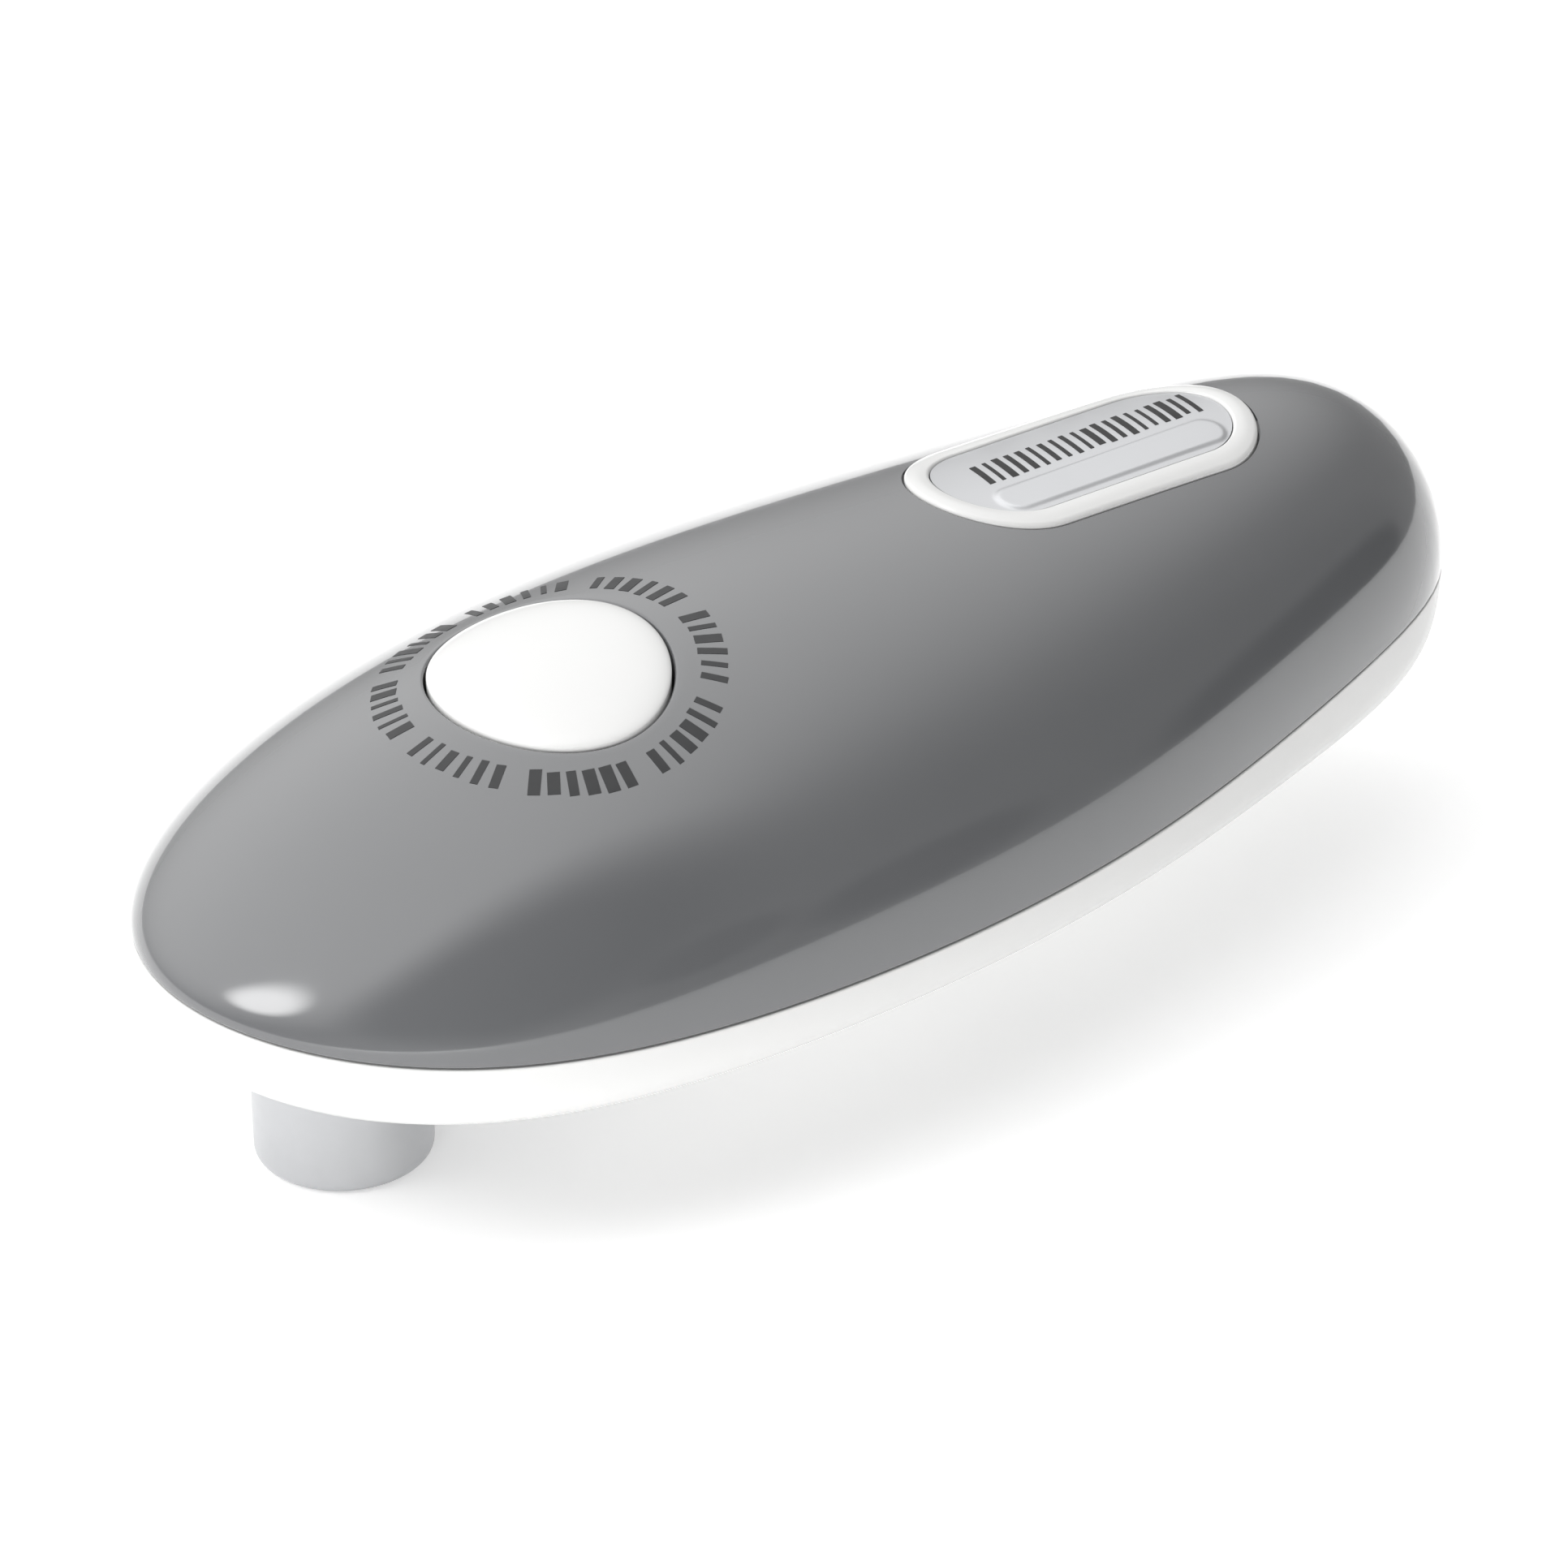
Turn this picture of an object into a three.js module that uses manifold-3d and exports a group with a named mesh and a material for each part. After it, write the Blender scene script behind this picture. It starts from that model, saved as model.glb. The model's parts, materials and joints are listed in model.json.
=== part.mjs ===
// Hands-free electric can opener: a domed top housing and a boat-shaped lower housing round a small gear
// motor, two AA cells and a nip made of a toothed drive wheel and a cutting disc on an eccentric carrier.
// Millimetres. +X points to the rear (battery) end, +Z up; the nose is at -X. The origin lies under the
// middle of the body, level with the flat end of the guide foot, which is the lowest point.
import * as THREE from "three";
import { mergeVertices } from "three/addons/utils/BufferGeometryUtils.js";
import Module from "manifold-3d";

const wasm = await Module();
wasm.setup();

// ---- Driving dimensions ----------------------------------------------------------------------------
const LENGTH = 195;
const WIDTH = 83.1;
const DOME_HEIGHT = 32.3;
const WALL = 2;
const BASE_Z = 16; // underside of the lower housing, resting on the rim of a can
const SEAM_GAP = 0.3;
// Each list holds the coefficients of a polynomial in the lengthwise place a, -1 at the nose and +1 at
// the rear: how the plan width, the dome height and the seam's height above the underside change.
const PLAN = [1, -0.178, 0.028, -0.222, 0.281, 0.35];
const CROWN = [1, -0.067, 0.108, 0.436, -0.029, 0.196];
const SEAM = [9.5, 1.48, 5.28];
// The lower housing's side curves in from the seam to the flat underside as a superellipse.
const HULL = { inset: 8.9, endFactor: 1.5, power: 2.6 };

const BUTTON = { x: -43.2, halfX: 13.5, halfY: 16.5, proud: 0.9, travel: 1.8, gap: 0.35 };
const BADGE = { x: 41.8, halfX: 25.9, halfY: 12.4, rim: 3.2, depth: 1.2, proud: 0.6 };

// The nip: both axes are vertical and lie on the centre line.
const FOOT = { radius: 10.9, height: 13.4, edge: 1.4 };
const RIM_GAP = 4.6; // open nip, between the guide foot and the drive wheel
const DRIVE_WHEEL = { radius: 5.6, root: 4.8, teeth: 20, low: 11.2, high: 15 };
const CUTTER = { radius: 10.2, offset: 4.6, low: 13.7, high: 14.9, bore: 2.65 };
const HUB_X = -75.3;
const DRIVE_X = HUB_X + FOOT.radius + RIM_GAP + DRIVE_WHEEL.radius;

// Spur train: module 0.8, two stages of 36 on 10 teeth, after a one-start worm on a 30-tooth wheel.
const MODULE = 0.8;
const BIG_TEETH = 36;
const PINION_TEETH = 10;
const STAGE = (MODULE * (BIG_TEETH + PINION_TEETH)) / 2;
const WORM = { module: 0.7, teeth: 30, radius: 3, length: 10, bore: 1.1 };
const SECTOR_TEETH = 24;
const SECTOR_MODULE = (DRIVE_X - HUB_X) / SECTOR_TEETH;
const STAGE_2_ANGLE = THREE.MathUtils.degToRad(35);
const STAGE_1_ANGLE = THREE.MathUtils.degToRad(-30);
const DRIVE = new THREE.Vector2(DRIVE_X, 0);
const MIDDLE = new THREE.Vector2(STAGE, 0).rotateAround(new THREE.Vector2(), STAGE_2_ANGLE).add(DRIVE);
const WHEEL = new THREE.Vector2(STAGE, 0).rotateAround(new THREE.Vector2(), STAGE_1_ANGLE).add(MIDDLE);
const WORM_CENTRES = (WORM.module * WORM.teeth) / 2 + WORM.radius;
const WORM_Y = WHEEL.y - WORM_CENTRES;

// Levels, from the floor of the lower housing up.
const FLOOR_Z = BASE_Z + WALL;
const FRAME_LOW = [18.4, 19.9];
const DRIVE_GEAR_Z = [21, 25];
const MIDDLE_PINION_Z = [20.4, 25.7];
const MIDDLE_GEAR_Z = [25.7, 29.2];
const WHEEL_PINION_Z = [25.4, 30.4];
const WHEEL_Z = [30.4, 34.6];
const SECTOR_Z = [30.6, 33.6];
const WORM_Z = 32.5;
const FRAME_HIGH = [36.8, 38.3];
const BOARD_Z = [39.6, 41.2];
const SWITCH_TOP = 45;
const POST_Z = 46.8;

const MOTOR = { front: -13.2, can: 18.7, cap: 5, radius: 10, halfFlat: 7.5, shaft: 1 };
const SHAFT_TOP = 38.6; // of both vertical shafts, just over the upper frame plate
const PIN = { radius: 1.5, bore: 1.65, low: 18.5, high: 38.2 };
const DRIVE_SHAFT = { radius: 2.5, bore: 2.65, low: 9.4 };
const CARRIER_SHAFT = { radius: 3.5, bore: 3.65 };
const NUT = { across: 7, low: 9.6, high: 11.15 };
const PILLARS = [[-68, 13], [-68, -13], [-34, -14], [-19.5, 16.2]];
const SCREWS = [[-63, 22.5], [-63, -22.5], [5, 27], [5, -27], [80.5, 0]];
const SCREW = { head: 2.8, shank: 1.15, pilot: 1.25, clear: 1.7, recess: 3.2, post: 4.5, boss: 3.5 };
const SCREW_SEAT_Z = 22;
const BOSS_Z = 23.8;
const BOSS_PILOT_TOP = 35;

const MAGNET = { x: DRIVE_X + 18, radius: 6, holder: 8, face: 12.6, thick: 3 };
const WEAR = { front: -83.4, rear: -46.5, halfY: 14, low: 15.6, high: 16.6, screwX: -52, screwY: 8.2 };
const WEB = { radius: 7.2, low: 15.2, high: 16.4 };
const DOOR = { front: 12.5, rear: 71.5, halfY: 15.6, corner: 5, thick: 1.9, gap: 0.3 };
const CELL = { radius: 7.1, body: 49, nub: 1.3, nubRadius: 2.7, y: 7.5, z: 25.7 };
const BAY = { front: 16, rear: 74.5, halfY: 15.6, top: 33.6, wall: 1.2 };
const LEAD = 0.65;

// ---- Colours and finishes --------------------------------------------------------------------------
const finish = (color, roughness, metalness = 0) =>
  new THREE.MeshStandardMaterial({ color, roughness, metalness });
const GREY_GLOSS = finish(0x84868a, 0.15);
const WHITE_GLOSS = finish(0xf2f2f0, 0.2);
const SILVER = finish(0xd4d4d6, 0.28, 0.9);
const STEEL = finish(0xb4b6b8, 0.35, 1);
const ZINC = finish(0xc4c6c6, 0.3, 0.8);
const BRASS = finish(0xc9a050, 0.3, 1);
const NYLON = finish(0xeae6d8, 0.5);
const BLACK = finish(0x26272a, 0.5);
const GREEN = finish(0x1f5a34, 0.45);
const RED_LEAD = finish(0xb4201c, 0.5);
const BLACK_LEAD = finish(0x1c1c1e, 0.5);
const CELL_SLEEVE = finish(0x3f5f78, 0.35);
const MAGNET_BLACK = finish(0x4c4d50, 0.45, 0.6);

// ---- Solid and mesh helpers ------------------------------------------------------------------------
const root = new THREE.Group();

function solid(geometry) {
  const bare = geometry.clone();
  for (const name of ["normal", "uv"]) bare.deleteAttribute(name);
  const merged = mergeVertices(bare, 1e-4);
  const mesh = { numProp: 3, vertProperties: merged.attributes.position.array };
  mesh.triVerts = new Uint32Array(merged.index.array);
  return new wasm.Manifold(new wasm.Mesh(mesh));
}

function geometryOf(manifold) {
  const mesh = manifold.getMesh();
  const geometry = new THREE.BufferGeometry();
  geometry.setAttribute("position", new THREE.BufferAttribute(mesh.vertProperties, 3));
  geometry.setIndex(new THREE.BufferAttribute(mesh.triVerts, 1));
  geometry.computeVertexNormals();
  return geometry;
}

function add(name, shape, material, x = 0, y = 0, z = 0) {
  const geometry = shape.isBufferGeometry ? shape : geometryOf(shape);
  const mesh = new THREE.Mesh(geometry, material);
  mesh.name = name;
  mesh.position.set(x, y, z);
  root.add(mesh);
  return mesh;
}

// A turned part about Z: profile holds [radius, z] pairs, going up the outside.
function turned(profile, segments = 16) {
  const points = profile.map(([r, z]) => new THREE.Vector2(r, z));
  return new THREE.LatheGeometry(points, segments).rotateX(Math.PI / 2);
}

const rod = (radius, low, high, segments = 16) =>
  turned([[0, low], [radius, low], [radius, high], [0, high]], segments);

const ring = (inner, outer, low, high, segments = 16) =>
  turned([[inner, low], [outer, low], [outer, high], [inner, high], [inner, low]], segments);

function prism(shape, low, high, curveSegments = 12) {
  const settings = { depth: high - low, bevelEnabled: false, curveSegments };
  return new THREE.ExtrudeGeometry(shape, settings).translate(0, 0, low);
}

const block = (x0, x1, y0, y1, z0, z1) =>
  new THREE.BoxGeometry(x1 - x0, y1 - y0, z1 - z0).translate((x0 + x1) / 2, (y0 + y1) / 2, (z0 + z1) / 2);

const cylinderAt = (x, y, radius, low, high, segments = 16) =>
  solid(rod(radius, low, high, segments).translate(x, y, 0));

function circleHole(shape, x, y, radius) {
  shape.holes.push(new THREE.Path().absarc(x, y, radius, 0, 2 * Math.PI));
  return shape;
}

function ellipseShape(x, halfX, halfY) {
  return new THREE.Shape().absellipse(x, 0, halfX, halfY, 0, 2 * Math.PI);
}

function stadium(x, halfX, halfY) {
  const straight = halfX - halfY;
  const shape = new THREE.Shape();
  shape.absarc(x + straight, 0, halfY, -Math.PI / 2, Math.PI / 2);
  shape.absarc(x - straight, 0, halfY, Math.PI / 2, (3 * Math.PI) / 2);
  return shape;
}

function roundedRectangle(x0, x1, halfY, radius) {
  const shape = new THREE.Shape();
  shape.absarc(x1 - radius, halfY - radius, radius, 0, Math.PI / 2);
  shape.absarc(x0 + radius, halfY - radius, radius, Math.PI / 2, Math.PI);
  shape.absarc(x0 + radius, radius - halfY, radius, Math.PI, 1.5 * Math.PI);
  shape.absarc(x1 - radius, radius - halfY, radius, 1.5 * Math.PI, 2 * Math.PI);
  return shape;
}

// Joins closed rings of points, all of one length, into a closed surface. A ring of one point is a pole.
function loft(rings) {
  const positions = [];
  const triangle = (...corners) => corners.forEach((p) => positions.push(p.x, p.y, p.z));
  for (let k = 0; k + 1 < rings.length; k++) {
    const [low, high] = [rings[k], rings[k + 1]];
    const count = Math.max(low.length, high.length);
    for (let i = 0; i < count; i++) {
      const [a, b] = [low[i % low.length], low[(i + 1) % low.length]];
      const [c, d] = [high[(i + 1) % high.length], high[i % high.length]];
      if (low.length > 1) triangle(a, b, c);
      if (high.length > 1) triangle(a, c, d);
    }
  }
  const geometry = new THREE.BufferGeometry();
  geometry.setAttribute("position", new THREE.Float32BufferAttribute(positions, 3));
  return geometry;
}

// A section carried round a circle while it moves along it, as thread or spring wire does. The section
// holds [radial, axial] pairs; radiusAt gives the coil's radius at the share t of its length.
function coil(section, radiusAt, rise, turns, stepsPerTurn) {
  const steps = Math.round(turns * stepsPerTurn);
  const ringAt = (k) => {
    const angle = (2 * Math.PI * turns * k) / steps;
    const radius = radiusAt(k / steps);
    return section.map(([radial, axial]) => new THREE.Vector3(
      (radius + radial) * Math.cos(angle),
      (radius + radial) * Math.sin(angle),
      (rise * k) / steps + axial,
    ));
  };
  const rings = Array.from({ length: steps + 1 }, (_, k) => ringAt(k));
  const middle = (points) =>
    [points.reduce((sum, p) => sum.add(p), new THREE.Vector3()).divideScalar(points.length)];
  return loft([middle(rings[0]), ...rings, middle(rings[steps])]);
}

const wireSection = (radius, sides = 5) =>
  Array.from({ length: sides }, (_, i) => {
    const angle = (-2 * Math.PI * i) / sides;
    return [radius * Math.cos(angle), radius * Math.sin(angle)];
  });

// ---- The body's shape ------------------------------------------------------------------------------
const polynomial = (coefficients, a) => coefficients.reduceRight((sum, c) => sum * a + c, 0);
const seamZ = (a) => BASE_Z + polynomial(SEAM, a);

// The dome is the unit half sphere (a, b, g) stretched lengthwise, across and up, less a wall.
const domePoint = (a, b, g, wall) => new THREE.Vector3(
  (LENGTH / 2 - wall) * a,
  ((WIDTH / 2) * polynomial(PLAN, a) - wall) * b,
  seamZ(a) + (DOME_HEIGHT * polynomial(CROWN, a) - wall) * g,
);

function domeZ(x, y) {
  const a = x / (LENGTH / 2);
  const b = y / ((WIDTH / 2) * polynomial(PLAN, a));
  return seamZ(a) + DOME_HEIGHT * polynomial(CROWN, a) * Math.sqrt(Math.max(0, 1 - a * a - b * b));
}

// A point on the lower housing's side, at the share q of the way down from the seam to the underside.
function hullPoint(angle, q, wall, bottom) {
  const inset = HULL.inset * (1 - (1 - q ** HULL.power) ** (1 / HULL.power));
  const a = Math.cos(angle);
  const half = (WIDTH / 2) * polynomial(PLAN, a) - wall;
  const top = seamZ(a) - SEAM_GAP;
  return new THREE.Vector3(
    (LENGTH / 2 - wall - inset * HULL.endFactor) * a,
    half * (1 - inset / (WIDTH / 2)) * Math.sin(angle),
    top + (bottom - top) * q,
  );
}

const AROUND = 40;
const ringOf = (point) => Array.from({ length: AROUND }, (_, i) => point((2 * Math.PI * i) / AROUND));

function domeRings(wall, levels) {
  return Array.from({ length: levels }, (_, k) => {
    const latitude = (Math.PI / 2) * (k / levels);
    return ringOf((angle) => domePoint(
      Math.cos(latitude) * Math.cos(angle),
      Math.cos(latitude) * Math.sin(angle),
      Math.sin(latitude),
      wall,
    ));
  });
}

function hullRings(wall, bottom, levels) {
  return Array.from({ length: levels + 1 }, (_, k) =>
    ringOf((angle) => hullPoint(angle, Math.sin((Math.PI / 2) * (k / levels)), wall, bottom)));
}

const DOME_LEVELS = 7;
const HULL_LEVELS = 4;
const outerDome = () => {
  const rings = domeRings(0, DOME_LEVELS);
  const base = [new THREE.Vector3(0, 0, seamZ(0))];
  return solid(loft([base, ...rings, [domePoint(0, 0, 1, 0)]]));
};
const outerHull = () => {
  const rings = hullRings(0, BASE_Z, HULL_LEVELS).reverse();
  return solid(loft([[new THREE.Vector3(0, 0, BASE_Z)], ...rings, [new THREE.Vector3(0, 0, seamZ(0))]]));
};

// ---- Housings --------------------------------------------------------------------------------------
function topHousing() {
  const outside = domeRings(0, DOME_LEVELS);
  const inside = domeRings(WALL, DOME_LEVELS).reverse();
  const crown = (wall) => [domePoint(0, 0, 1, wall)];
  let shell = solid(loft([crown(WALL), ...inside, ...outside, crown(0)]));
  const dome = outerDome();
  const holeX = BUTTON.halfX + BUTTON.gap;
  const holeY = BUTTON.halfY + BUTTON.gap;
  const collar = prism(ellipseShape(BUTTON.x, holeX + 1.6, holeY + 1.6), 46, 60, 12);
  shell = shell.add(solid(collar).intersect(dome));
  for (const [x, y] of SCREWS) {
    shell = shell.add(cylinderAt(x, y, SCREW.boss, 24, 60, 12).intersect(dome));
    shell = shell.add(cylinderAt(x, y, SCREW.boss, BOSS_Z, 33, 12));
    shell = shell.subtract(cylinderAt(x, y, SCREW.pilot, 20, BOSS_PILOT_TOP, 10));
  }
  shell = shell.subtract(solid(prism(ellipseShape(BUTTON.x, holeX, holeY), 40, 62, 14)));
  const pocket = prism(stadium(BADGE.x, BADGE.halfX + 0.3, BADGE.halfY + 0.3), 40, 62, 10);
  return shell.subtract(solid(pocket).intersect(badgeLayer(-BADGE.depth, 5)));
}

// The space between two surfaces that follow the dome round the badge.
function badgeLayer(low, high) {
  const steps = 10;
  const reach = { x: BADGE.halfX + 2, y: BADGE.halfY + 2 };
  const at = (f, angle, lift) => {
    const x = BADGE.x + reach.x * f * Math.cos(angle);
    const y = reach.y * f * Math.sin(angle);
    return new THREE.Vector3(x, y, domeZ(x, y) + lift);
  };
  const squircle = (angle) => (Math.cos(angle) ** 4 + Math.sin(angle) ** 4) ** -0.25;
  const rings = (lift) => Array.from({ length: 4 }, (_, k) =>
    Array.from({ length: 2 * steps }, (_, i) => {
      const angle = (Math.PI * i) / steps;
      return at(((k + 1) / 4) * squircle(angle), angle, lift);
    }));
  return solid(loft([[at(0, 0, low)], ...rings(low), ...rings(high).reverse(), [at(0, 0, high)]]));
}

function lowerHousing() {
  const outside = hullRings(0, BASE_Z, HULL_LEVELS).reverse();
  const inside = hullRings(WALL, FLOOR_Z, HULL_LEVELS);
  const centre = (z) => [new THREE.Vector3(0, 0, z)];
  let shell = solid(loft([centre(BASE_Z), ...outside, ...inside, centre(FLOOR_Z)]));
  const hull = outerHull();
  for (const [x, y] of SCREWS) {
    shell = shell.add(cylinderAt(x, y, SCREW.post, BASE_Z, BOSS_Z - 0.3, 14).intersect(hull));
    shell = shell.subtract(cylinderAt(x, y, SCREW.recess, BASE_Z - 1, SCREW_SEAT_Z, 20));
    shell = shell.subtract(cylinderAt(x, y, SCREW.clear, BASE_Z, BOSS_Z + 1, 10));
  }
  for (const x of [-9, 3]) {
    const rib = solid(block(x, x + 2, WORM_Y - 11, WORM_Y + 11, FLOOR_Z - 0.5, WORM_Z - 2));
    shell = shell.add(rib.intersect(hull).subtract(motorBody(-20, 20, 0.3)));
  }
  const opening = roundedRectangle(DOOR.front - DOOR.gap, DOOR.rear + DOOR.gap, DOOR.halfY + DOOR.gap,
    DOOR.corner + DOOR.gap);
  const wearPocket = stadiumOfWearPlate(0.3);
  const cuts = [
    solid(prism(opening, BASE_Z - 1, FLOOR_Z + 1, 5)),
    solid(prism(wearPocket, BASE_Z - 1, WEAR.high + 0.1, 10)),
    cylinderAt(HUB_X, 0, 5.3, BASE_Z - 1, FLOOR_Z + 1),
    cylinderAt(DRIVE_X, 0, 4.4, BASE_Z - 1, FLOOR_Z + 1, 20),
    cylinderAt(MAGNET.x, 0, 4.1, BASE_Z - 1, FLOOR_Z + 1, 20),
    ...[1, -1].map((side) => cylinderAt(WEAR.screwX, side * WEAR.screwY, 0.9, BASE_Z - 1, FLOOR_Z + 1, 12)),
  ];
  return cuts.reduce((body, cut) => body.subtract(cut), shell);
}

function stadiumOfWearPlate(grow) {
  const middle = (WEAR.front + WEAR.rear) / 2;
  return stadium(middle, (WEAR.rear - WEAR.front) / 2 + grow, WEAR.halfY + grow);
}

function wearPlate() {
  const shape = stadiumOfWearPlate(0);
  circleHole(shape, HUB_X, 0, WEB.radius + 0.35);
  circleHole(shape, DRIVE_X, 0, 3.4);
  for (const side of [1, -1]) circleHole(shape, WEAR.screwX, side * WEAR.screwY, 1.2);
  return prism(shape, WEAR.low, WEAR.high, 8);
}

const wearScrew = () => turned([[0, 15], [1.5, 15], [2.1, 15.3], [2.1, WEAR.low - 0.05],
  [0.8, WEAR.low - 0.05], [0.8, FLOOR_Z + 0.2], [0, FLOOR_Z + 0.2]], 12);

// Flat door whose two tongues hook over the front edge of the opening; it swings down about that edge.
function batteryDoor() {
  const { front, rear, halfY, corner, thick } = DOOR;
  const top = BASE_Z + thick;
  let door = solid(prism(roundedRectangle(front, rear, halfY, corner), BASE_Z, top, 5));
  for (const side of [1, -1]) {
    const y = 8.5 * side;
    door = door.add(solid(block(front + 0.1, front + 1, y - 2.5, y + 2.5, top - 0.5, top + 1.3)));
    door = door.add(solid(block(front - 1.6, front + 1, y - 2.5, y + 2.5, top + 0.25, top + 1.3)));
  }
  door = door.add(solid(block(rear - 2.2, rear - 0.8, -2.9, 2.9, top - 0.5, top + 2.1)));
  const finger = new THREE.SphereGeometry(12, 20, 10).translate(rear - 9, 0, BASE_Z - 10.9);
  return door.subtract(solid(finger));
}

// ---- Button, badge, switch and board ---------------------------------------------------------------
function startButton() {
  const { x, halfX, halfY, proud } = BUTTON;
  const count = 26;
  const at = (f, lift) => Array.from({ length: count }, (_, i) => {
    const angle = (2 * Math.PI * i) / count;
    const px = x + halfX * f * Math.cos(angle);
    const py = halfY * f * Math.sin(angle);
    return new THREE.Vector3(px, py, domeZ(px, py) + lift);
  });
  const flat = (f, z) => at(f, 0).map((p) => new THREE.Vector3(p.x, p.y, z));
  const faces = [1, 0.97, 0.88, 0.7, 0.45, 0.2].map((f) => at(f, proud * Math.sqrt(1 - f ** 6)));
  const crown = [new THREE.Vector3(x, 0, domeZ(x, 0) + proud)];
  const bottom = [new THREE.Vector3(x, 0, 44)];
  let cap = solid(loft([bottom, flat(1, 44), ...faces, crown]));
  cap = cap.subtract(solid(prism(ellipseShape(x, halfX - 1.8, halfY - 1.8), 40, 49.2, 12)));
  cap = cap.add(cylinderAt(x, 0, 3, POST_Z, 50, 16));
  const lip = prism(ellipseRing(x, halfX + 1, halfY + 1, halfX - 1.8, halfY - 1.8), 44, 45.9, 10);
  return cap.add(solid(lip));
}

function ellipseRing(x, outerX, outerY, innerX, innerY) {
  const shape = ellipseShape(x, outerX, outerY);
  shape.holes.push(new THREE.Path().absellipse(x, 0, innerX, innerY, 0, 2 * Math.PI));
  return shape;
}

const SPRING = { radius: 7.4, wire: 0.35, low: BOARD_Z[1] + 0.5, high: 48.6, turns: 4 };
const buttonSpring = () =>
  coil(wireSection(SPRING.wire), () => SPRING.radius, SPRING.high - SPRING.low, SPRING.turns, 10);

function badgeBezel() {
  const outline = stadium(BADGE.x, BADGE.halfX, BADGE.halfY);
  const inner = stadium(BADGE.x, BADGE.halfX - BADGE.rim, BADGE.halfY - BADGE.rim);
  outline.holes.push(new THREE.Path(inner.getPoints(10)));
  return solid(prism(outline, 40, 62, 10)).intersect(badgeLayer(0.1 - BADGE.depth, BADGE.proud));
}

function badgePlate() {
  const outline = stadium(BADGE.x, BADGE.halfX - BADGE.rim - 0.2, BADGE.halfY - BADGE.rim - 0.2);
  return solid(prism(outline, 40, 62, 10)).intersect(badgeLayer(0.1 - BADGE.depth, 0.15));
}

function controlBoard() {
  const shape = roundedRectangle(BUTTON.x - 22, BUTTON.x + 22, 13, 2);
  for (const dx of [-18, 18]) circleHole(shape, BUTTON.x + dx, 0, 1.1);
  return prism(shape, ...BOARD_Z, 4);
}

function switchBody() {
  const low = BOARD_Z[1];
  const body = solid(block(BUTTON.x - 4, BUTTON.x + 4, -4, 4, low, SWITCH_TOP));
  return body.subtract(cylinderAt(BUTTON.x, 0, 1.9, low + 0.6, SWITCH_TOP + 1, 16));
}

// ---- Gears -----------------------------------------------------------------------------------------
const involute = (angle) => Math.tan(angle) - angle;
const PRESSURE = THREE.MathUtils.degToRad(20);

// A gear outline with straight flanks between points of the involute. Teeth outside `range`, counted
// from the tooth at `phase`, are left off, which makes a sector.
function gearShape({ teeth, module, phase = 0, range = null, thin = 0.13, addendum = 0.85 }) {
  const pitch = (module * teeth) / 2;
  const base = pitch * Math.cos(PRESSURE);
  const rootR = pitch - 1.2 * module;
  const tip = pitch + addendum * module;
  const halfAngle = (r) => {
    const full = Math.PI / (2 * teeth) + involute(PRESSURE) - thin / pitch;
    return r <= base ? full * (r < base ? 0.9 : 1) : full - involute(Math.acos(base / r));
  };
  const shape = [];
  const put = (r, angle) => shape.push(new THREE.Vector2(r * Math.cos(angle), r * Math.sin(angle)));
  for (let i = 0; i < teeth; i++) {
    const centre = phase + (2 * Math.PI * i) / teeth;
    const kept = !range || (i >= range[0] && i <= range[1]) || i - teeth >= range[0];
    if (!kept) {
      put(rootR, centre);
      continue;
    }
    const rise = teeth > 20 ? [rootR, tip] : [rootR, Math.max(base, pitch), tip];
    for (const r of rise) put(r, centre - halfAngle(r));
    for (const r of rise.reverse()) put(r, centre + halfAngle(r));
  }
  return new THREE.Shape(shape);
}

const toothedDisc = (gear, bore, low, high) => prism(circleHole(gearShape(gear), 0, 0, bore), low, high, 8);

function pinionAndGear(gear, gearZ, pinion, pinionZ, bore) {
  const wheel = solid(toothedDisc(gear, bore, ...gearZ));
  return wheel.add(solid(toothedDisc(pinion, bore, ...pinionZ)));
}

// A tooth of each gear points at its mate's gap, so that the train is in mesh at rest.
const gapPhase = (angle, teeth) => angle + Math.PI + Math.PI / teeth;
const bigGear = (phase) => ({ teeth: BIG_TEETH, module: MODULE, phase });
const pinionGear = (phase) => ({ teeth: PINION_TEETH, module: MODULE, phase });

const driveGear = () => toothedDisc(
  bigGear(gapPhase(STAGE_2_ANGLE + Math.PI, BIG_TEETH)), DRIVE_SHAFT.bore, ...DRIVE_GEAR_Z);

const middleGear = () => pinionAndGear(
  bigGear(gapPhase(STAGE_1_ANGLE + Math.PI, BIG_TEETH)), MIDDLE_GEAR_Z,
  pinionGear(STAGE_2_ANGLE + Math.PI), MIDDLE_PINION_Z, PIN.bore,
);

// The wheel's teeth lean by the worm's lead angle, as a twist about its axis.
const LEAD_ANGLE = Math.atan(WORM.module / (2 * WORM.radius));
function wormWheel() {
  const wheelPitch = (WORM.module * WORM.teeth) / 2;
  const outline = gearShape({ teeth: WORM.teeth, module: WORM.module, phase: -Math.PI / 2, thin: 0.16 });
  const disc = prism(circleHole(outline, 0, 0, PIN.bore), ...WHEEL_Z, 8);
  const place = disc.attributes.position;
  const point = new THREE.Vector3();
  const up = new THREE.Vector3(0, 0, 1);
  for (let i = 0; i < place.count; i++) {
    point.fromBufferAttribute(place, i);
    const twist = ((point.z - WORM_Z) * Math.tan(LEAD_ANGLE)) / wheelPitch;
    point.applyAxisAngle(up, Math.hypot(point.x, point.y) > 3 ? twist : 0);
    place.setXYZ(i, point.x, point.y, point.z);
  }
  const pinion = toothedDisc(pinionGear(STAGE_1_ANGLE + Math.PI), PIN.bore, ...WHEEL_PINION_Z);
  return solid(disc).add(solid(pinion));
}

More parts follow.
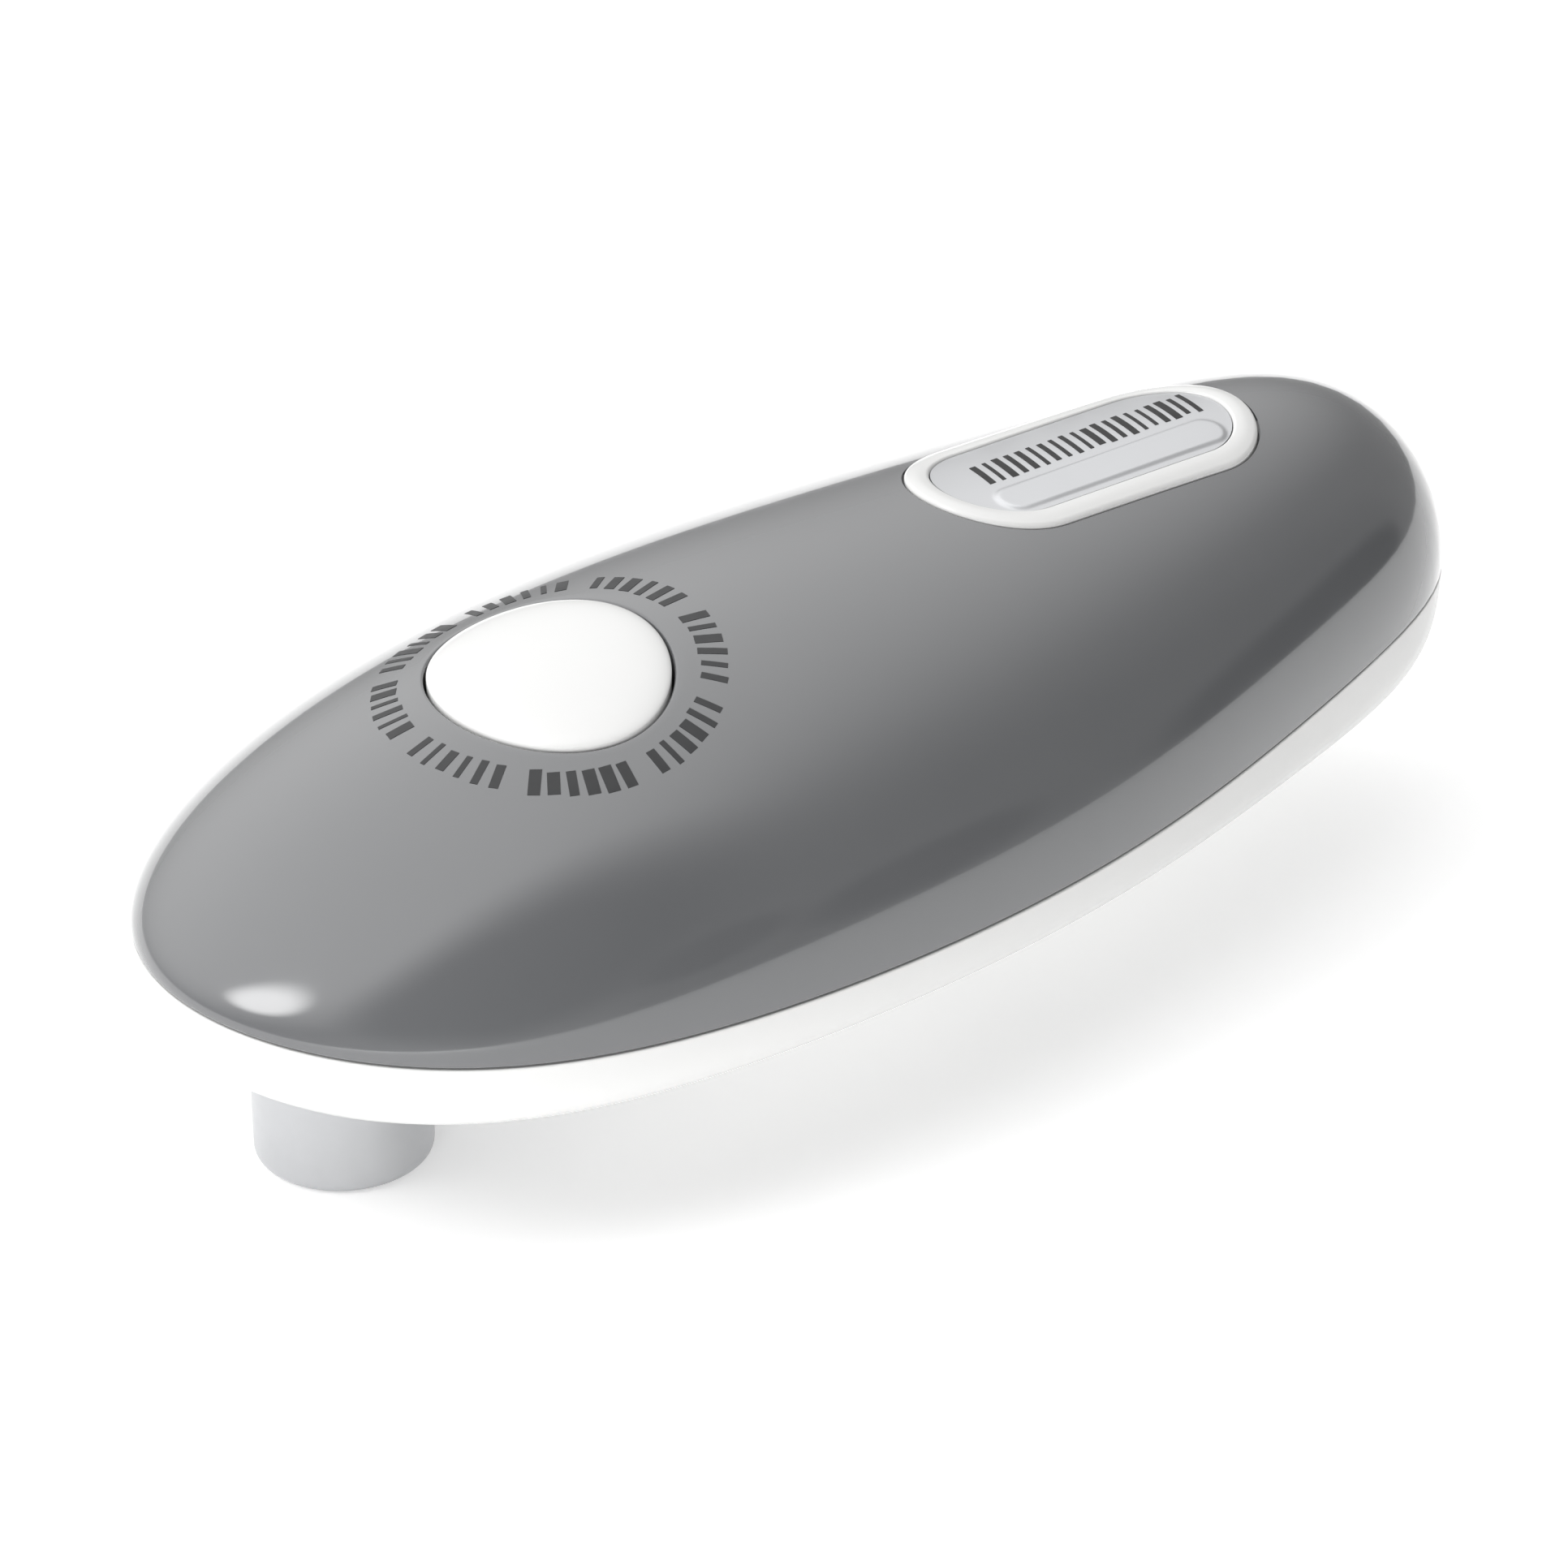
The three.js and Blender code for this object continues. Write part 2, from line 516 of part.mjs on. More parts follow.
// The worm is made about Z and laid along X by its mesh's rotation. Its thread is one start.
function worm() {
  const pitch = Math.PI * WORM.module;
  const tip = 0.55;
  const depth = 0.8;
  const section = [[-depth - 0.3, -0.72], [tip, -0.28], [tip, 0.28], [-depth - 0.3, 0.72]].reverse();
  const turns = 6;
  const thread = coil(section, () => WORM.radius, pitch * turns, turns, 12);
  thread.translate(0, 0, (-pitch * turns) / 2).rotateZ(-Math.PI / 2);
  const half = WORM.length / 2;
  const band = solid(rod(WORM.radius + 2, -half, half));
  let body = solid(rod(WORM.radius - depth, -half, half + 1.5, 16)).add(solid(thread).intersect(band));
  return body.subtract(solid(rod(WORM.bore, -half - 1, half + 3, 12)));
}

const carrierGear = () => toothedDisc(
  { teeth: SECTOR_TEETH, module: SECTOR_MODULE, phase: 0, range: [-1, 8] },
  CARRIER_SHAFT.bore, ...SECTOR_Z);
const dragGear = () => toothedDisc(
  { teeth: SECTOR_TEETH, module: SECTOR_MODULE, phase: Math.PI + Math.PI / SECTOR_TEETH, range: [-9, 0] },
  DRIVE_SHAFT.bore, ...SECTOR_Z);

// ---- Frame, motor and shafts -----------------------------------------------------------------------
function framePlate(noseRadius, holes) {
  const shape = new THREE.Shape();
  const shoulder = -59;
  shape.absarc(HUB_X, 0, noseRadius, Math.PI / 2, (3 * Math.PI) / 2);
  shape.lineTo(shoulder - 9, -16.5).lineTo(shoulder + 1.5, -16.5).lineTo(shoulder + 4, -18.9);
  shape.lineTo(-16, -18.9).lineTo(-16, 18.9).lineTo(shoulder + 4, 18.9);
  shape.lineTo(shoulder + 1.5, 16.5).lineTo(shoulder - 9, 16.5);
  for (const [x, y, r] of holes) circleHole(shape, x, y, r);
  for (const [x, y] of PILLARS) circleHole(shape, x, y, 1.6);
  return shape;
}

const pillar = () => turned([[0, FRAME_LOW[0] + 0.1], [1.5, FRAME_LOW[0] + 0.1], [1.5, FRAME_LOW[1] + 0.05],
  [2.5, FRAME_LOW[1] + 0.05], [2.5, FRAME_HIGH[0] - 0.05], [1.5, FRAME_HIGH[0] - 0.05],
  [1.5, FRAME_HIGH[1] - 0.1], [0, FRAME_HIGH[1] - 0.1]], 10);

// The motor's outline lies across X: a round can with two flats, above and below.
function motorBody(low, high, grow) {
  const { radius, halfFlat } = MOTOR;
  const angle = Math.asin((halfFlat + grow) / (radius + grow));
  const shape = new THREE.Shape();
  shape.absarc(0, 0, radius + grow, -angle, angle);
  shape.absarc(0, 0, radius + grow, Math.PI - angle, Math.PI + angle);
  const bar = prism(shape, low, high, 10).rotateZ(Math.PI / 2).rotateY(Math.PI / 2);
  return solid(bar.rotateX(Math.PI / 2).translate(0, WORM_Y, WORM_Z));
}

function motorCase() {
  const { front, can } = MOTOR;
  const along = (radius, x0, x1) =>
    solid(rod(radius, x0, x1, 16).rotateY(Math.PI / 2).translate(0, WORM_Y, WORM_Z));
  const body = motorBody(front, front + can, 0).add(along(3, front - 1.3, front + 1));
  return body.subtract(along(MOTOR.shaft + 0.25, front - 3, front + 12.7));
}

function motorCap() {
  const from = MOTOR.front + MOTOR.can;
  const to = from + MOTOR.cap;
  let cap = motorBody(from + 0.05, to, -0.3);
  for (const side of [1, -1]) {
    const y = WORM_Y + 5 * side;
    cap = cap.add(solid(block(to - 1, to + 2.2, y - 1.4, y + 1.4, WORM_Z - 0.2, WORM_Z + 0.2)));
  }
  return cap;
}

// Vertical shaft, crank web and eccentric journal in one turned and milled piece of steel.
function cutterCarrier() {
  const shaft = solid(rod(CARRIER_SHAFT.radius, 15.6, SHAFT_TOP, 24));
  const web = solid(rod(WEB.radius, WEB.low, WEB.high, 24));
  const journal = solid(rod(2.5, 9.5, 15.6, 20).translate(0, CUTTER.offset, 0));
  return shaft.add(web).add(journal);
}

function cutterWheel() {
  const { radius, low, high, bore } = CUTTER;
  const middle = (low + high) / 2;
  return turned([[bore, low], [radius - 2, low], [radius, middle - 0.05], [radius, middle + 0.05],
    [radius - 2, high], [bore, high], [bore, low]], 32);
}

// Die-cast foot that rolls along the can's wall, held on the journal by a screw from below.
function guideFoot() {
  const { radius, height, edge } = FOOT;
  const rounded = Array.from({ length: 4 }, (_, k) => {
    const angle = (Math.PI / 2) * (k / 3);
    return [radius - edge * (1 - Math.sin(angle)), edge * (1 - Math.cos(angle))];
  });
  const top = [[radius, height - 0.4], [radius - 0.4, height], [0, height]];
  return solid(turned([[0, 0], ...rounded, ...top], 32))
    .subtract(cylinderAt(0, CUTTER.offset, 3.7, -1, 4, 20))
    .subtract(cylinderAt(0, CUTTER.offset, 2.6, 9.3, height + 1, 20))
    .subtract(cylinderAt(0, CUTTER.offset, 1.3, 2, 10, 16));
}

function footScrew() {
  const head = [[0, 1.2], [2.6, 1.2], [3.2, 1.8], [3.2, 3.9]];
  const shank = [[1.15, 3.9], [1.15, 9.2], [0, 9.2]];
  return solid(turned([...head, ...shank], 20)).subtract(crossSlot(1.2, 2.6));
}

// The cross recess of a screw whose head faces down, with its face at the height given.
function crossSlot(face, top) {
  const arm = (x, y) => solid(block(-x, x, -y, y, face - 1, top));
  return arm(1.7, 0.35).add(arm(0.35, 1.7));
}

function driveWheel() {
  const { radius, root: rootR, teeth, low, high } = DRIVE_WHEEL;
  const points = Array.from({ length: 2 * teeth }, (_, i) => {
    const angle = (Math.PI * i) / teeth;
    const r = i % 2 ? radius : rootR;
    return new THREE.Vector2(r * Math.cos(angle), r * Math.sin(angle));
  });
  return prism(circleHole(new THREE.Shape(points), 0, 0, DRIVE_SHAFT.bore), low, high, 8);
}

function hexNut() {
  const corner = NUT.across / Math.sqrt(3);
  const corners = Array.from({ length: 6 }, (_, i) => {
    const angle = (Math.PI * i) / 3;
    return new THREE.Vector2(corner * Math.cos(angle), corner * Math.sin(angle));
  });
  return prism(circleHole(new THREE.Shape(corners), 0, 0, DRIVE_SHAFT.bore), NUT.low, NUT.high, 6);
}

function housingScrew() {
  const face = SCREW_SEAT_Z - 2.2;
  const seat = SCREW_SEAT_Z - 0.05;
  const head = [[0, face], [SCREW.head - 0.6, face], [SCREW.head, face + 0.6], [SCREW.head, seat]];
  const shank = [[SCREW.shank, seat], [SCREW.shank, 33], [0, 34]];
  return solid(turned([...head, ...shank], 12)).subtract(crossSlot(face, face + 1.3));
}

const magnetHolder = () => {
  const { holder, radius, face, thick } = MAGNET;
  const mouth = face + 0.3;
  const seat = face + thick + 0.05;
  return turned([[0, seat], [radius + 0.1, seat], [radius + 0.1, mouth], [holder - 0.6, mouth],
    [holder, mouth + 0.6], [holder, BASE_Z - 0.05], [3.9, BASE_Z - 0.05], [3.9, FLOOR_Z + 0.2],
    [0, FLOOR_Z + 0.2]], 28);
};

// ---- Battery bay -----------------------------------------------------------------------------------
function batteryCradle() {
  const { front, rear, halfY, top, wall } = BAY;
  const side = halfY + wall;
  const outside = solid(block(front - wall, rear + wall, -side, side, FLOOR_Z + 0.7, top + wall));
  const inside = solid(block(front, rear, -halfY, halfY, FLOOR_Z - 1, top));
  const rib = solid(block(front + 8, rear - 8, -0.2, 0.2, 28, top + 0.5));
  const slot = (x, y) => solid(block(x - 0.5, x + 0.5, y - 2.2, y + 2.2, top - 1, top + wall + 1));
  return outside.subtract(inside).add(rib)
    .subtract(slot(front + 0.25, -CELL.y)).subtract(slot(front + 0.25, CELL.y));
}

const alongX = (geometry, x, y) => geometry.rotateY(Math.PI / 2).translate(x, y, CELL.z);

// A cell made about X with its nub pointing to +X or -X.
function cell(start, y, direction) {
  const { radius, body, nub, nubRadius } = CELL;
  const profile = [[0, 0], [radius - 0.5, 0], [radius, 0.5], [radius, body - 0.5], [radius - 0.5, body],
    [nubRadius, body], [nubRadius, body + nub], [0, body + nub]];
  const upright = turned(profile, 20);
  if (direction < 0) upright.rotateX(Math.PI).translate(0, 0, body + nub);
  return alongX(upright, start, y);
}

function contactSpring(length, x, y) {
  const shape = coil(wireSection(0.4), (t) => 4.6 - 1.8 * t, length, 3.5, 10);
  return solid(alongX(shape, x, y));
}

const CONTACT = { thick: 0.35, low: 19.4, high: 32.4, tab: 37 };
function contactPlate(x, y0, y1) {
  return solid(block(x, x + CONTACT.thick, y0, y1, CONTACT.low, CONTACT.high));
}
const contactTab = (y) =>
  solid(block(BAY.front + 0.08, BAY.front + 0.08 + CONTACT.thick, y - 1.8, y + 1.8, 30, CONTACT.tab));

function negativeContact() {
  const x = BAY.front + 0.08;
  const spring = contactSpring(6.2, x + 0.4, -CELL.y);
  return contactPlate(x, -14.4, -1).add(contactTab(-CELL.y)).add(spring);
}

const positiveContact = () => contactPlate(BAY.front + 0.08, 1, 14.4).add(contactTab(CELL.y));

function bridgeContact() {
  const x = BAY.rear - 0.08 - CONTACT.thick;
  const coilShape = coil(wireSection(0.4), (t) => 4.6 - 1.8 * t, 6.2, 3.5, 10).rotateX(Math.PI);
  return contactPlate(x, -14.4, 14.4).add(solid(alongX(coilShape, x, CELL.y)));
}

// ---- Leads -----------------------------------------------------------------------------------------
function lead(points) {
  const path = new THREE.CatmullRomCurve3(points.map((p) => new THREE.Vector3(...p)));
  const section = new THREE.Shape().absarc(0, 0, LEAD, 0, 2 * Math.PI);
  return new THREE.ExtrudeGeometry(section, {
    extrudePath: path, steps: 16, curveSegments: 3, bevelEnabled: false,
  });
}

const ON_BOARD = BOARD_Z[1] + LEAD + 0.3;
const OVER_MOTOR = WORM_Z + MOTOR.radius + LEAD + 1.2;
const batteryLead = (fromY, toY) => [
  [16.3, fromY, CONTACT.tab + 1], [12.5, (fromY + toY) / 2, 41.5], [0, toY, 44.4], [-12, toY, 44],
  [-21, toY, ON_BOARD + 0.2], [-25, toY, ON_BOARD],
];
const motorLead = (side, toY) => [
  [12.2, WORM_Y + 5 * side, WORM_Z + 0.9], [13.4, WORM_Y + 5 * side, 38],
  [11.5, WORM_Y + 4 * side, 42.8], [4, WORM_Y + 3 * side, OVER_MOTOR],
  [-12, toY, OVER_MOTOR], [-21, toY, ON_BOARD + 0.2], [-25, toY, ON_BOARD],
];
const LEADS = {
  battery_lead_red: batteryLead(CELL.y, 7),
  battery_lead_black: batteryLead(-CELL.y, -2),
  motor_lead_red: motorLead(1, -6.5),
  motor_lead_black: motorLead(-1, -11),
};

// ---- Assembly --------------------------------------------------------------------------------------
add("top_housing", topHousing(), GREY_GLOSS);
add("lower_housing", lowerHousing(), WHITE_GLOSS);
add("battery_door", batteryDoor(), WHITE_GLOSS);
add("wear_plate", wearPlate(), STEEL);
[1, -1].forEach((side, i) =>
  add(`wear_plate_screw_${i + 1}`, wearScrew(), STEEL, WEAR.screwX, side * WEAR.screwY));
SCREWS.forEach(([x, y], i) => add(`housing_screw_${i + 1}`, housingScrew(), STEEL, x, y));

add("start_button", startButton(), WHITE_GLOSS);
add("button_spring", buttonSpring(), STEEL, BUTTON.x, 0, SPRING.low);
add("badge_bezel", badgeBezel(), WHITE_GLOSS);
add("badge_plate", badgePlate(), SILVER);
add("control_board", controlBoard(), GREEN);
const spacer = rod(2.2, FRAME_HIGH[1] + 0.05, BOARD_Z[0] - 0.05, 16);
[-18, 18].forEach((dx, i) => add(`board_spacer_${i + 1}`, spacer, NYLON, BUTTON.x + dx, 0));
add("switch_body", switchBody(), BLACK);
add("switch_plunger", rod(1.6, 43.9, POST_Z - 0.2, 16), NYLON, BUTTON.x, 0);

const pinHoles = [[MIDDLE.x, MIDDLE.y, 1.6], [WHEEL.x, WHEEL.y, 1.6]];
const lowerPlate = framePlate(7, [...pinHoles, [HUB_X, 0, 5.25], [DRIVE_X, 0, 4.25]]);
const upperPlate = framePlate(6.5, [...pinHoles, [HUB_X, 0, 3.75], [DRIVE_X, 0, 2.75]]);
add("gear_frame_lower", prism(lowerPlate, ...FRAME_LOW, 6), STEEL);
add("gear_frame_upper", prism(upperPlate, ...FRAME_HIGH, 6), STEEL);
PILLARS.forEach(([x, y], i) => add(`frame_pillar_${i + 1}`, pillar(), STEEL, x, y));
const pin = rod(PIN.radius, PIN.low, PIN.high, 16);
add("middle_gear_pin", pin, STEEL, MIDDLE.x, MIDDLE.y);
add("worm_wheel_pin", pin, STEEL, WHEEL.x, WHEEL.y);
add("carrier_bush", turned([[3.65, 17.2], [5, 17.2], [5, 19.95], [6.2, 19.95], [6.2, 20.8], [3.65, 20.8],
  [3.65, 17.2]]), BRASS, HUB_X, 0);
add("drive_bush", turned([[2.65, 16.9], [4, 16.9], [4, 19.95], [5, 19.95], [5, 20.7], [2.65, 20.7],
  [2.65, 16.9]]), BRASS, DRIVE_X, 0);

add("motor_case", motorCase(), STEEL);
add("motor_end_cap", motorCap(), BLACK);
const motorShaft = rod(MOTOR.shaft, -29.8, MOTOR.front + 10.7, 12).rotateY(Math.PI / 2);
add("motor_shaft", motorShaft, STEEL, 0, WORM_Y, WORM_Z);
add("worm", worm(), BRASS, WHEEL.x, WORM_Y, WORM_Z).rotation.set(0, Math.PI / 2, 0);
add("worm_wheel", wormWheel(), NYLON, WHEEL.x, WHEEL.y);
add("middle_gear", middleGear(), NYLON, MIDDLE.x, MIDDLE.y);
add("drive_gear", driveGear(), STEEL, DRIVE_X, 0);
add("drive_shaft", rod(DRIVE_SHAFT.radius, DRIVE_SHAFT.low, SHAFT_TOP, 20), STEEL, DRIVE_X, 0);
add("drive_wheel", driveWheel(), STEEL, DRIVE_X, 0);
add("drive_wheel_nut", hexNut(), STEEL, DRIVE_X, 0);
add("friction_washer", ring(2.6, 5.2, 29.7, 30.5, 20), BRASS, DRIVE_X, 0);
add("drag_gear", dragGear(), STEEL, DRIVE_X, 0);
add("drag_gear_clip", ring(2.55, 4.4, 33.7, 34.4, 16), STEEL, DRIVE_X, 0);

add("cutter_carrier", cutterCarrier(), STEEL, HUB_X, 0);
add("carrier_gear", carrierGear(), STEEL, HUB_X, 0);
add("cutter_wheel", cutterWheel(), STEEL, HUB_X, CUTTER.offset);
add("guide_foot", guideFoot(), ZINC, HUB_X, 0);
add("foot_screw", footScrew(), STEEL, HUB_X, CUTTER.offset);

add("magnet_holder", magnetHolder(), WHITE_GLOSS, MAGNET.x, 0);
add("magnet", rod(MAGNET.radius, MAGNET.face, MAGNET.face + MAGNET.thick, 28), MAGNET_BLACK, MAGNET.x, 0);

add("battery_cradle", batteryCradle(), BLACK);
const cellReach = CELL.body + CELL.nub;
add("aa_cell_1", cell(BAY.rear - 0.6 - cellReach, -CELL.y, 1), CELL_SLEEVE);
add("aa_cell_2", cell(BAY.front + 0.6, CELL.y, -1), CELL_SLEEVE);
add("contact_negative", negativeContact(), STEEL);
add("contact_positive", positiveContact(), STEEL);
add("contact_bridge", bridgeContact(), STEEL);
for (const [name, points] of Object.entries(LEADS))
  add(name, lead(points), name.endsWith("red") ? RED_LEAD : BLACK_LEAD);

export default root;
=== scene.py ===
"""Looks of a hands-free can opener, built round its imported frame.

The domed top housing, the shallow lower housing and everything that shows on them are made here as fine
meshes that stand for the frame's plain solids. What lies inside the housings keeps the frame's solids and
gets its real finish. Sizes in the classes are millimetres and meshes are metres.
"""

import json
import logging
import math
from dataclasses import dataclass
from enum import Enum
from typing import Callable, Iterable, Sequence

import bmesh
import bpy
import numpy as np
from mathutils import Matrix, Vector


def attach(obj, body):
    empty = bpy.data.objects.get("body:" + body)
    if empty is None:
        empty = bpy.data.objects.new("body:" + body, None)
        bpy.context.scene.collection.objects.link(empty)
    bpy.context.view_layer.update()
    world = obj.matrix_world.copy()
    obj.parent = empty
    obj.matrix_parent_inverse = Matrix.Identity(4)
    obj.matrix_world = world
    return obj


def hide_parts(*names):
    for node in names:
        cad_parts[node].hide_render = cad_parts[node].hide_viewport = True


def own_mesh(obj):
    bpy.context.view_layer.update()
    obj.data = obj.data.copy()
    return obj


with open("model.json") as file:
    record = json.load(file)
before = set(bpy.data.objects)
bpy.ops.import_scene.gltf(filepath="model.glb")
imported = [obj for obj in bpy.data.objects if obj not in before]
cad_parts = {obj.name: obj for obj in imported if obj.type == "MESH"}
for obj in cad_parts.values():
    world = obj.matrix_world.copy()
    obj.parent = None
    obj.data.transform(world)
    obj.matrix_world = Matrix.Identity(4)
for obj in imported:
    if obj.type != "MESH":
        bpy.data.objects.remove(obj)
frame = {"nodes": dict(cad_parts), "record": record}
log = logging.getLogger("can_opener")

MM = 0.001
Point = tuple[float, float, float]
Ring = np.ndarray
Socket = bpy.types.NodeSocket
Spot = tuple[float, float, float, float]
Patch = tuple[Spot, float]


# ---- Colour and nodes ------------------------------------------------------------------------------
def linear(hex_colour: str) -> tuple[float, float, float, float]:
    """Turns an sRGB hex colour into linear light.

    Args:
        hex_colour: six hex digits after a hash.

    Returns:
        Red, green, blue and alpha, each from 0 to 1.
    """
    parts = [int(hex_colour[i:i + 2], 16) / 255 for i in (1, 3, 5)]
    light = [p / 12.92 if p <= 0.04045 else ((p + 0.055) / 1.055) ** 2.4 for p in parts]
    return (*light, 1.0)


def add_node(tree: bpy.types.NodeTree, kind: str, inputs: dict | None = None, **settings: object,
             ) -> bpy.types.Node:
    """Adds one node with its settings, values and links.

    Args:
        tree: the node tree that it goes in.
        kind: the node's type name.
        inputs: for each input's name or number, a value or the output socket to link from.
        settings: the node's own properties.

    Returns:
        The new node.
    """
    node = tree.nodes.new(kind)
    for name, value in settings.items():
        setattr(node, name, value)
    for key, value in (inputs or {}).items():
        socket = node.inputs[key]
        if isinstance(value, bpy.types.NodeSocket):
            tree.links.new(value, socket)
        else:
            socket.default_value = value
    return node


class Grain(Enum):
    """How the surface was made, which sets the pattern of its bump."""

    PEEL = "polished moulding, with the faint ripple of orange peel"
    SPARK = "moulding against a spark-eroded tool, evenly matt"
    BRUSHED = "ground or rolled along X"
    TURNED = "turned about an upright axis"
    CAST = "tumbled casting"


@dataclass(frozen=True)
class Finish:
    """One real material with the way its surface was made.

    colour is sRGB hex; grain_mm and mottle_mm are the real sizes of the bump's pattern and of the slow
    change of tone and gloss, and grain_um is the bump's depth in thousandths of a millimetre. coat is the
    share of a clear coat, and glow the light that a lit floor gives off.
    """

    name: str
    slot: str
    colour: str
    roughness: float
    metallic: float = 0.0
    ior: float = 1.5
    grain: Grain = Grain.PEEL
    grain_mm: float = 2.5
    grain_um: float = 3.0
    mottle_mm: float = 14.0
    mottle: float = 0.04
    gloss_change: float = 0.04
    centre: tuple[float, float] = (0.0, 0.0)
    coat: float = 0.0
    glow: float = 0.0

    def build(self) -> bpy.types.Material:
        """Makes the material's node tree, or returns the one made before.

        Returns:
            The material.
        """
        made = bpy.data.materials.get(self.name)
        if made:
            return made
        material = bpy.data.materials.new(self.name)
        material.use_nodes = True
        tree = material.node_tree
        shader = next(n for n in tree.nodes if n.type == "BSDF_PRINCIPLED")
        shader.inputs["Metallic"].default_value = self.metallic
        if not self.metallic:
            shader.inputs["IOR"].default_value = self.ior
        shader.inputs["Coat Weight"].default_value = self.coat
        shader.inputs["Coat Roughness"].default_value = 0.05
        shader.inputs["Emission Color"].default_value = (1.0, 1.0, 1.0, 1.0)
        shader.inputs["Emission Strength"].default_value = self.glow
        place = self.place(tree)
        tree.links.new(self.tone(tree, place), shader.inputs["Base Color"])
        tree.links.new(self.gloss(tree, place), shader.inputs["Roughness"])
        tree.links.new(self.bump(tree, place), shader.inputs["Normal"])
        return material

    def place(self, tree: bpy.types.NodeTree) -> Socket:
        """The surface's place in metres, counted from the finish's centre.

        Args:
            tree: the node tree that it goes in.

        Returns:
            The place.
        """
        where = add_node(tree, "ShaderNodeTexCoord").outputs["Object"]
        shift = (-self.centre[0] * MM, -self.centre[1] * MM, 0.0)
        return add_node(tree, "ShaderNodeMapping", {"Vector": where, "Location": shift}).outputs[0]

    def slow_noise(self, tree: bpy.types.NodeTree, place: Socket) -> Socket:
        """Slow noise at the mottle's size, from 0 to 1.

        Args:
            tree: the node tree that it goes in.
            place: the place on the surface, in metres.

        Returns:
            The noise.
        """
        inputs = {"Vector": place, "Scale": 1 / (self.mottle_mm * MM), "Detail": 3.0, "Roughness": 0.6}
        return add_node(tree, "ShaderNodeTexNoise", inputs).outputs["Fac"]

    def tone(self, tree: bpy.types.NodeTree, place: Socket) -> Socket:
        """The colour, a little lighter and darker from place to place.

        Args:
            tree: the node tree that it goes in.
            place: the place on the surface, in metres.

        Returns:
            The colour.
        """
        base = linear(self.colour)
        dark = tuple(c * (1 - self.mottle) for c in base[:3]) + (1.0,)
        light = tuple(min(1.0, c * (1 + self.mottle)) for c in base[:3]) + (1.0,)
        noise = self.slow_noise(tree, place)
        mix = add_node(tree, "ShaderNodeMix", {0: noise, 6: dark, 7: light}, data_type="RGBA")
        return mix.outputs[2]

    def gloss(self, tree: bpy.types.NodeTree, place: Socket) -> Socket:
        """The roughness, varying as handling leaves it.

        Args:
            tree: the node tree that it goes in.
            place: the place on the surface, in metres.

        Returns:
            The roughness.
        """
        inputs = {"Vector": place, "Scale": 2.3 / (self.mottle_mm * MM), "Detail": 4.0}
        noise = add_node(tree, "ShaderNodeTexNoise", inputs).outputs["Fac"]
        low = max(0.02, self.roughness - self.gloss_change)
        high = self.roughness + self.gloss_change
        reach = {"Value": noise, "From Min": 0.3, "From Max": 0.7, "To Min": low, "To Max": high}
        return add_node(tree, "ShaderNodeMapRange", reach).outputs["Result"]

    def grain_vector(self, tree: bpy.types.NodeTree, place: Socket) -> Socket:
        """The place as the grain's pattern reads it, stretched along or wrapped round it.

        Args:
            tree: the node tree that it goes in.
            place: the place on the surface, in metres.

        Returns:
            The place to read the pattern at.
        """
        if self.grain is Grain.BRUSHED:
            stretch = {"Vector": place, "Scale": (0.02, 1.0, 1.0)}
            return add_node(tree, "ShaderNodeMapping", stretch).outputs[0]
        if self.grain is Grain.TURNED:
            apart = add_node(tree, "ShaderNodeSeparateXYZ", {0: place})
            flat = add_node(tree, "ShaderNodeCombineXYZ", {0: apart.outputs[0], 1: apart.outputs[1]})
            radius = add_node(tree, "ShaderNodeVectorMath", {0: flat.outputs[0]}, operation="LENGTH")
            wrapped = {0: radius.outputs["Value"], 2: apart.outputs[2]}
            return add_node(tree, "ShaderNodeCombineXYZ", wrapped).outputs[0]
        return place

    def bump(self, tree: bpy.types.NodeTree, place: Socket) -> Socket:
        """The shading normal, disturbed by the grain at its real depth.

        Args:
            tree: the node tree that it goes in.
            place: the place on the surface, in metres.

        Returns:
            The normal.
        """
        inputs = {"Vector": self.grain_vector(tree, place), "Scale": 1 / (self.grain_mm * MM), "Detail": 2.0}
        noise = add_node(tree, "ShaderNodeTexNoise", inputs).outputs["Fac"]
        depth = self.grain_um * MM * MM
        return add_node(tree, "ShaderNodeBump", {"Height": noise, "Distance": depth}).outputs["Normal"]


# Polished ABS in mid grey: a clear, mirror-like skin over an even body colour.
GREY_ABS = Finish("grey_abs_polished", "grey_gloss", "#656668", 0.14, ior=1.55, grain_mm=5.0, grain_um=2.0,
                  gloss_change=0.03, mottle=0.02, coat=1.0)
# Polished ABS in white: bright, with soft reflections that show only near its edges.
WHITE_ABS = Finish("white_abs_polished", "white_gloss", "#e1e1e0", 0.2, grain_mm=4.0, grain_um=3.0,
                   mottle=0.01, gloss_change=0.05)
# The button and the badge's rim are the same white, polished further.
BUTTON_ABS = Finish("white_abs_button", "button_white", "#e6e6e5", 0.14, grain_mm=4.0, grain_um=2.0,
                    mottle=0.008)
# Metal foil hot-stamped on the badge: pale silver, a little cloudy.
SILVER_FOIL = Finish("silver_foil_stamped", "silver_plate", "#cccdcf", 0.34, metallic=0.6,
                     grain=Grain.BRUSHED, grain_mm=0.3, grain_um=1.0, mottle=0.02)
# Zinc casting, tumbled and satin plated: soft, bright, without a clear image.
SATIN_ZINC = Finish("zinc_casting_satin_plated", "satin_zinc", "#c2c3c5", 0.32, metallic=1.0,
                    grain=Grain.CAST, grain_mm=0.7, grain_um=1.0, mottle_mm=6.0)
# Stainless strip, ground along its length: fine parallel lines.
STAINLESS = Finish("stainless_ground", "stainless", "#c9cacc", 0.28, metallic=1.0, grain=Grain.BRUSHED,
                   grain_mm=0.25, grain_um=2.0, mottle_mm=8.0)
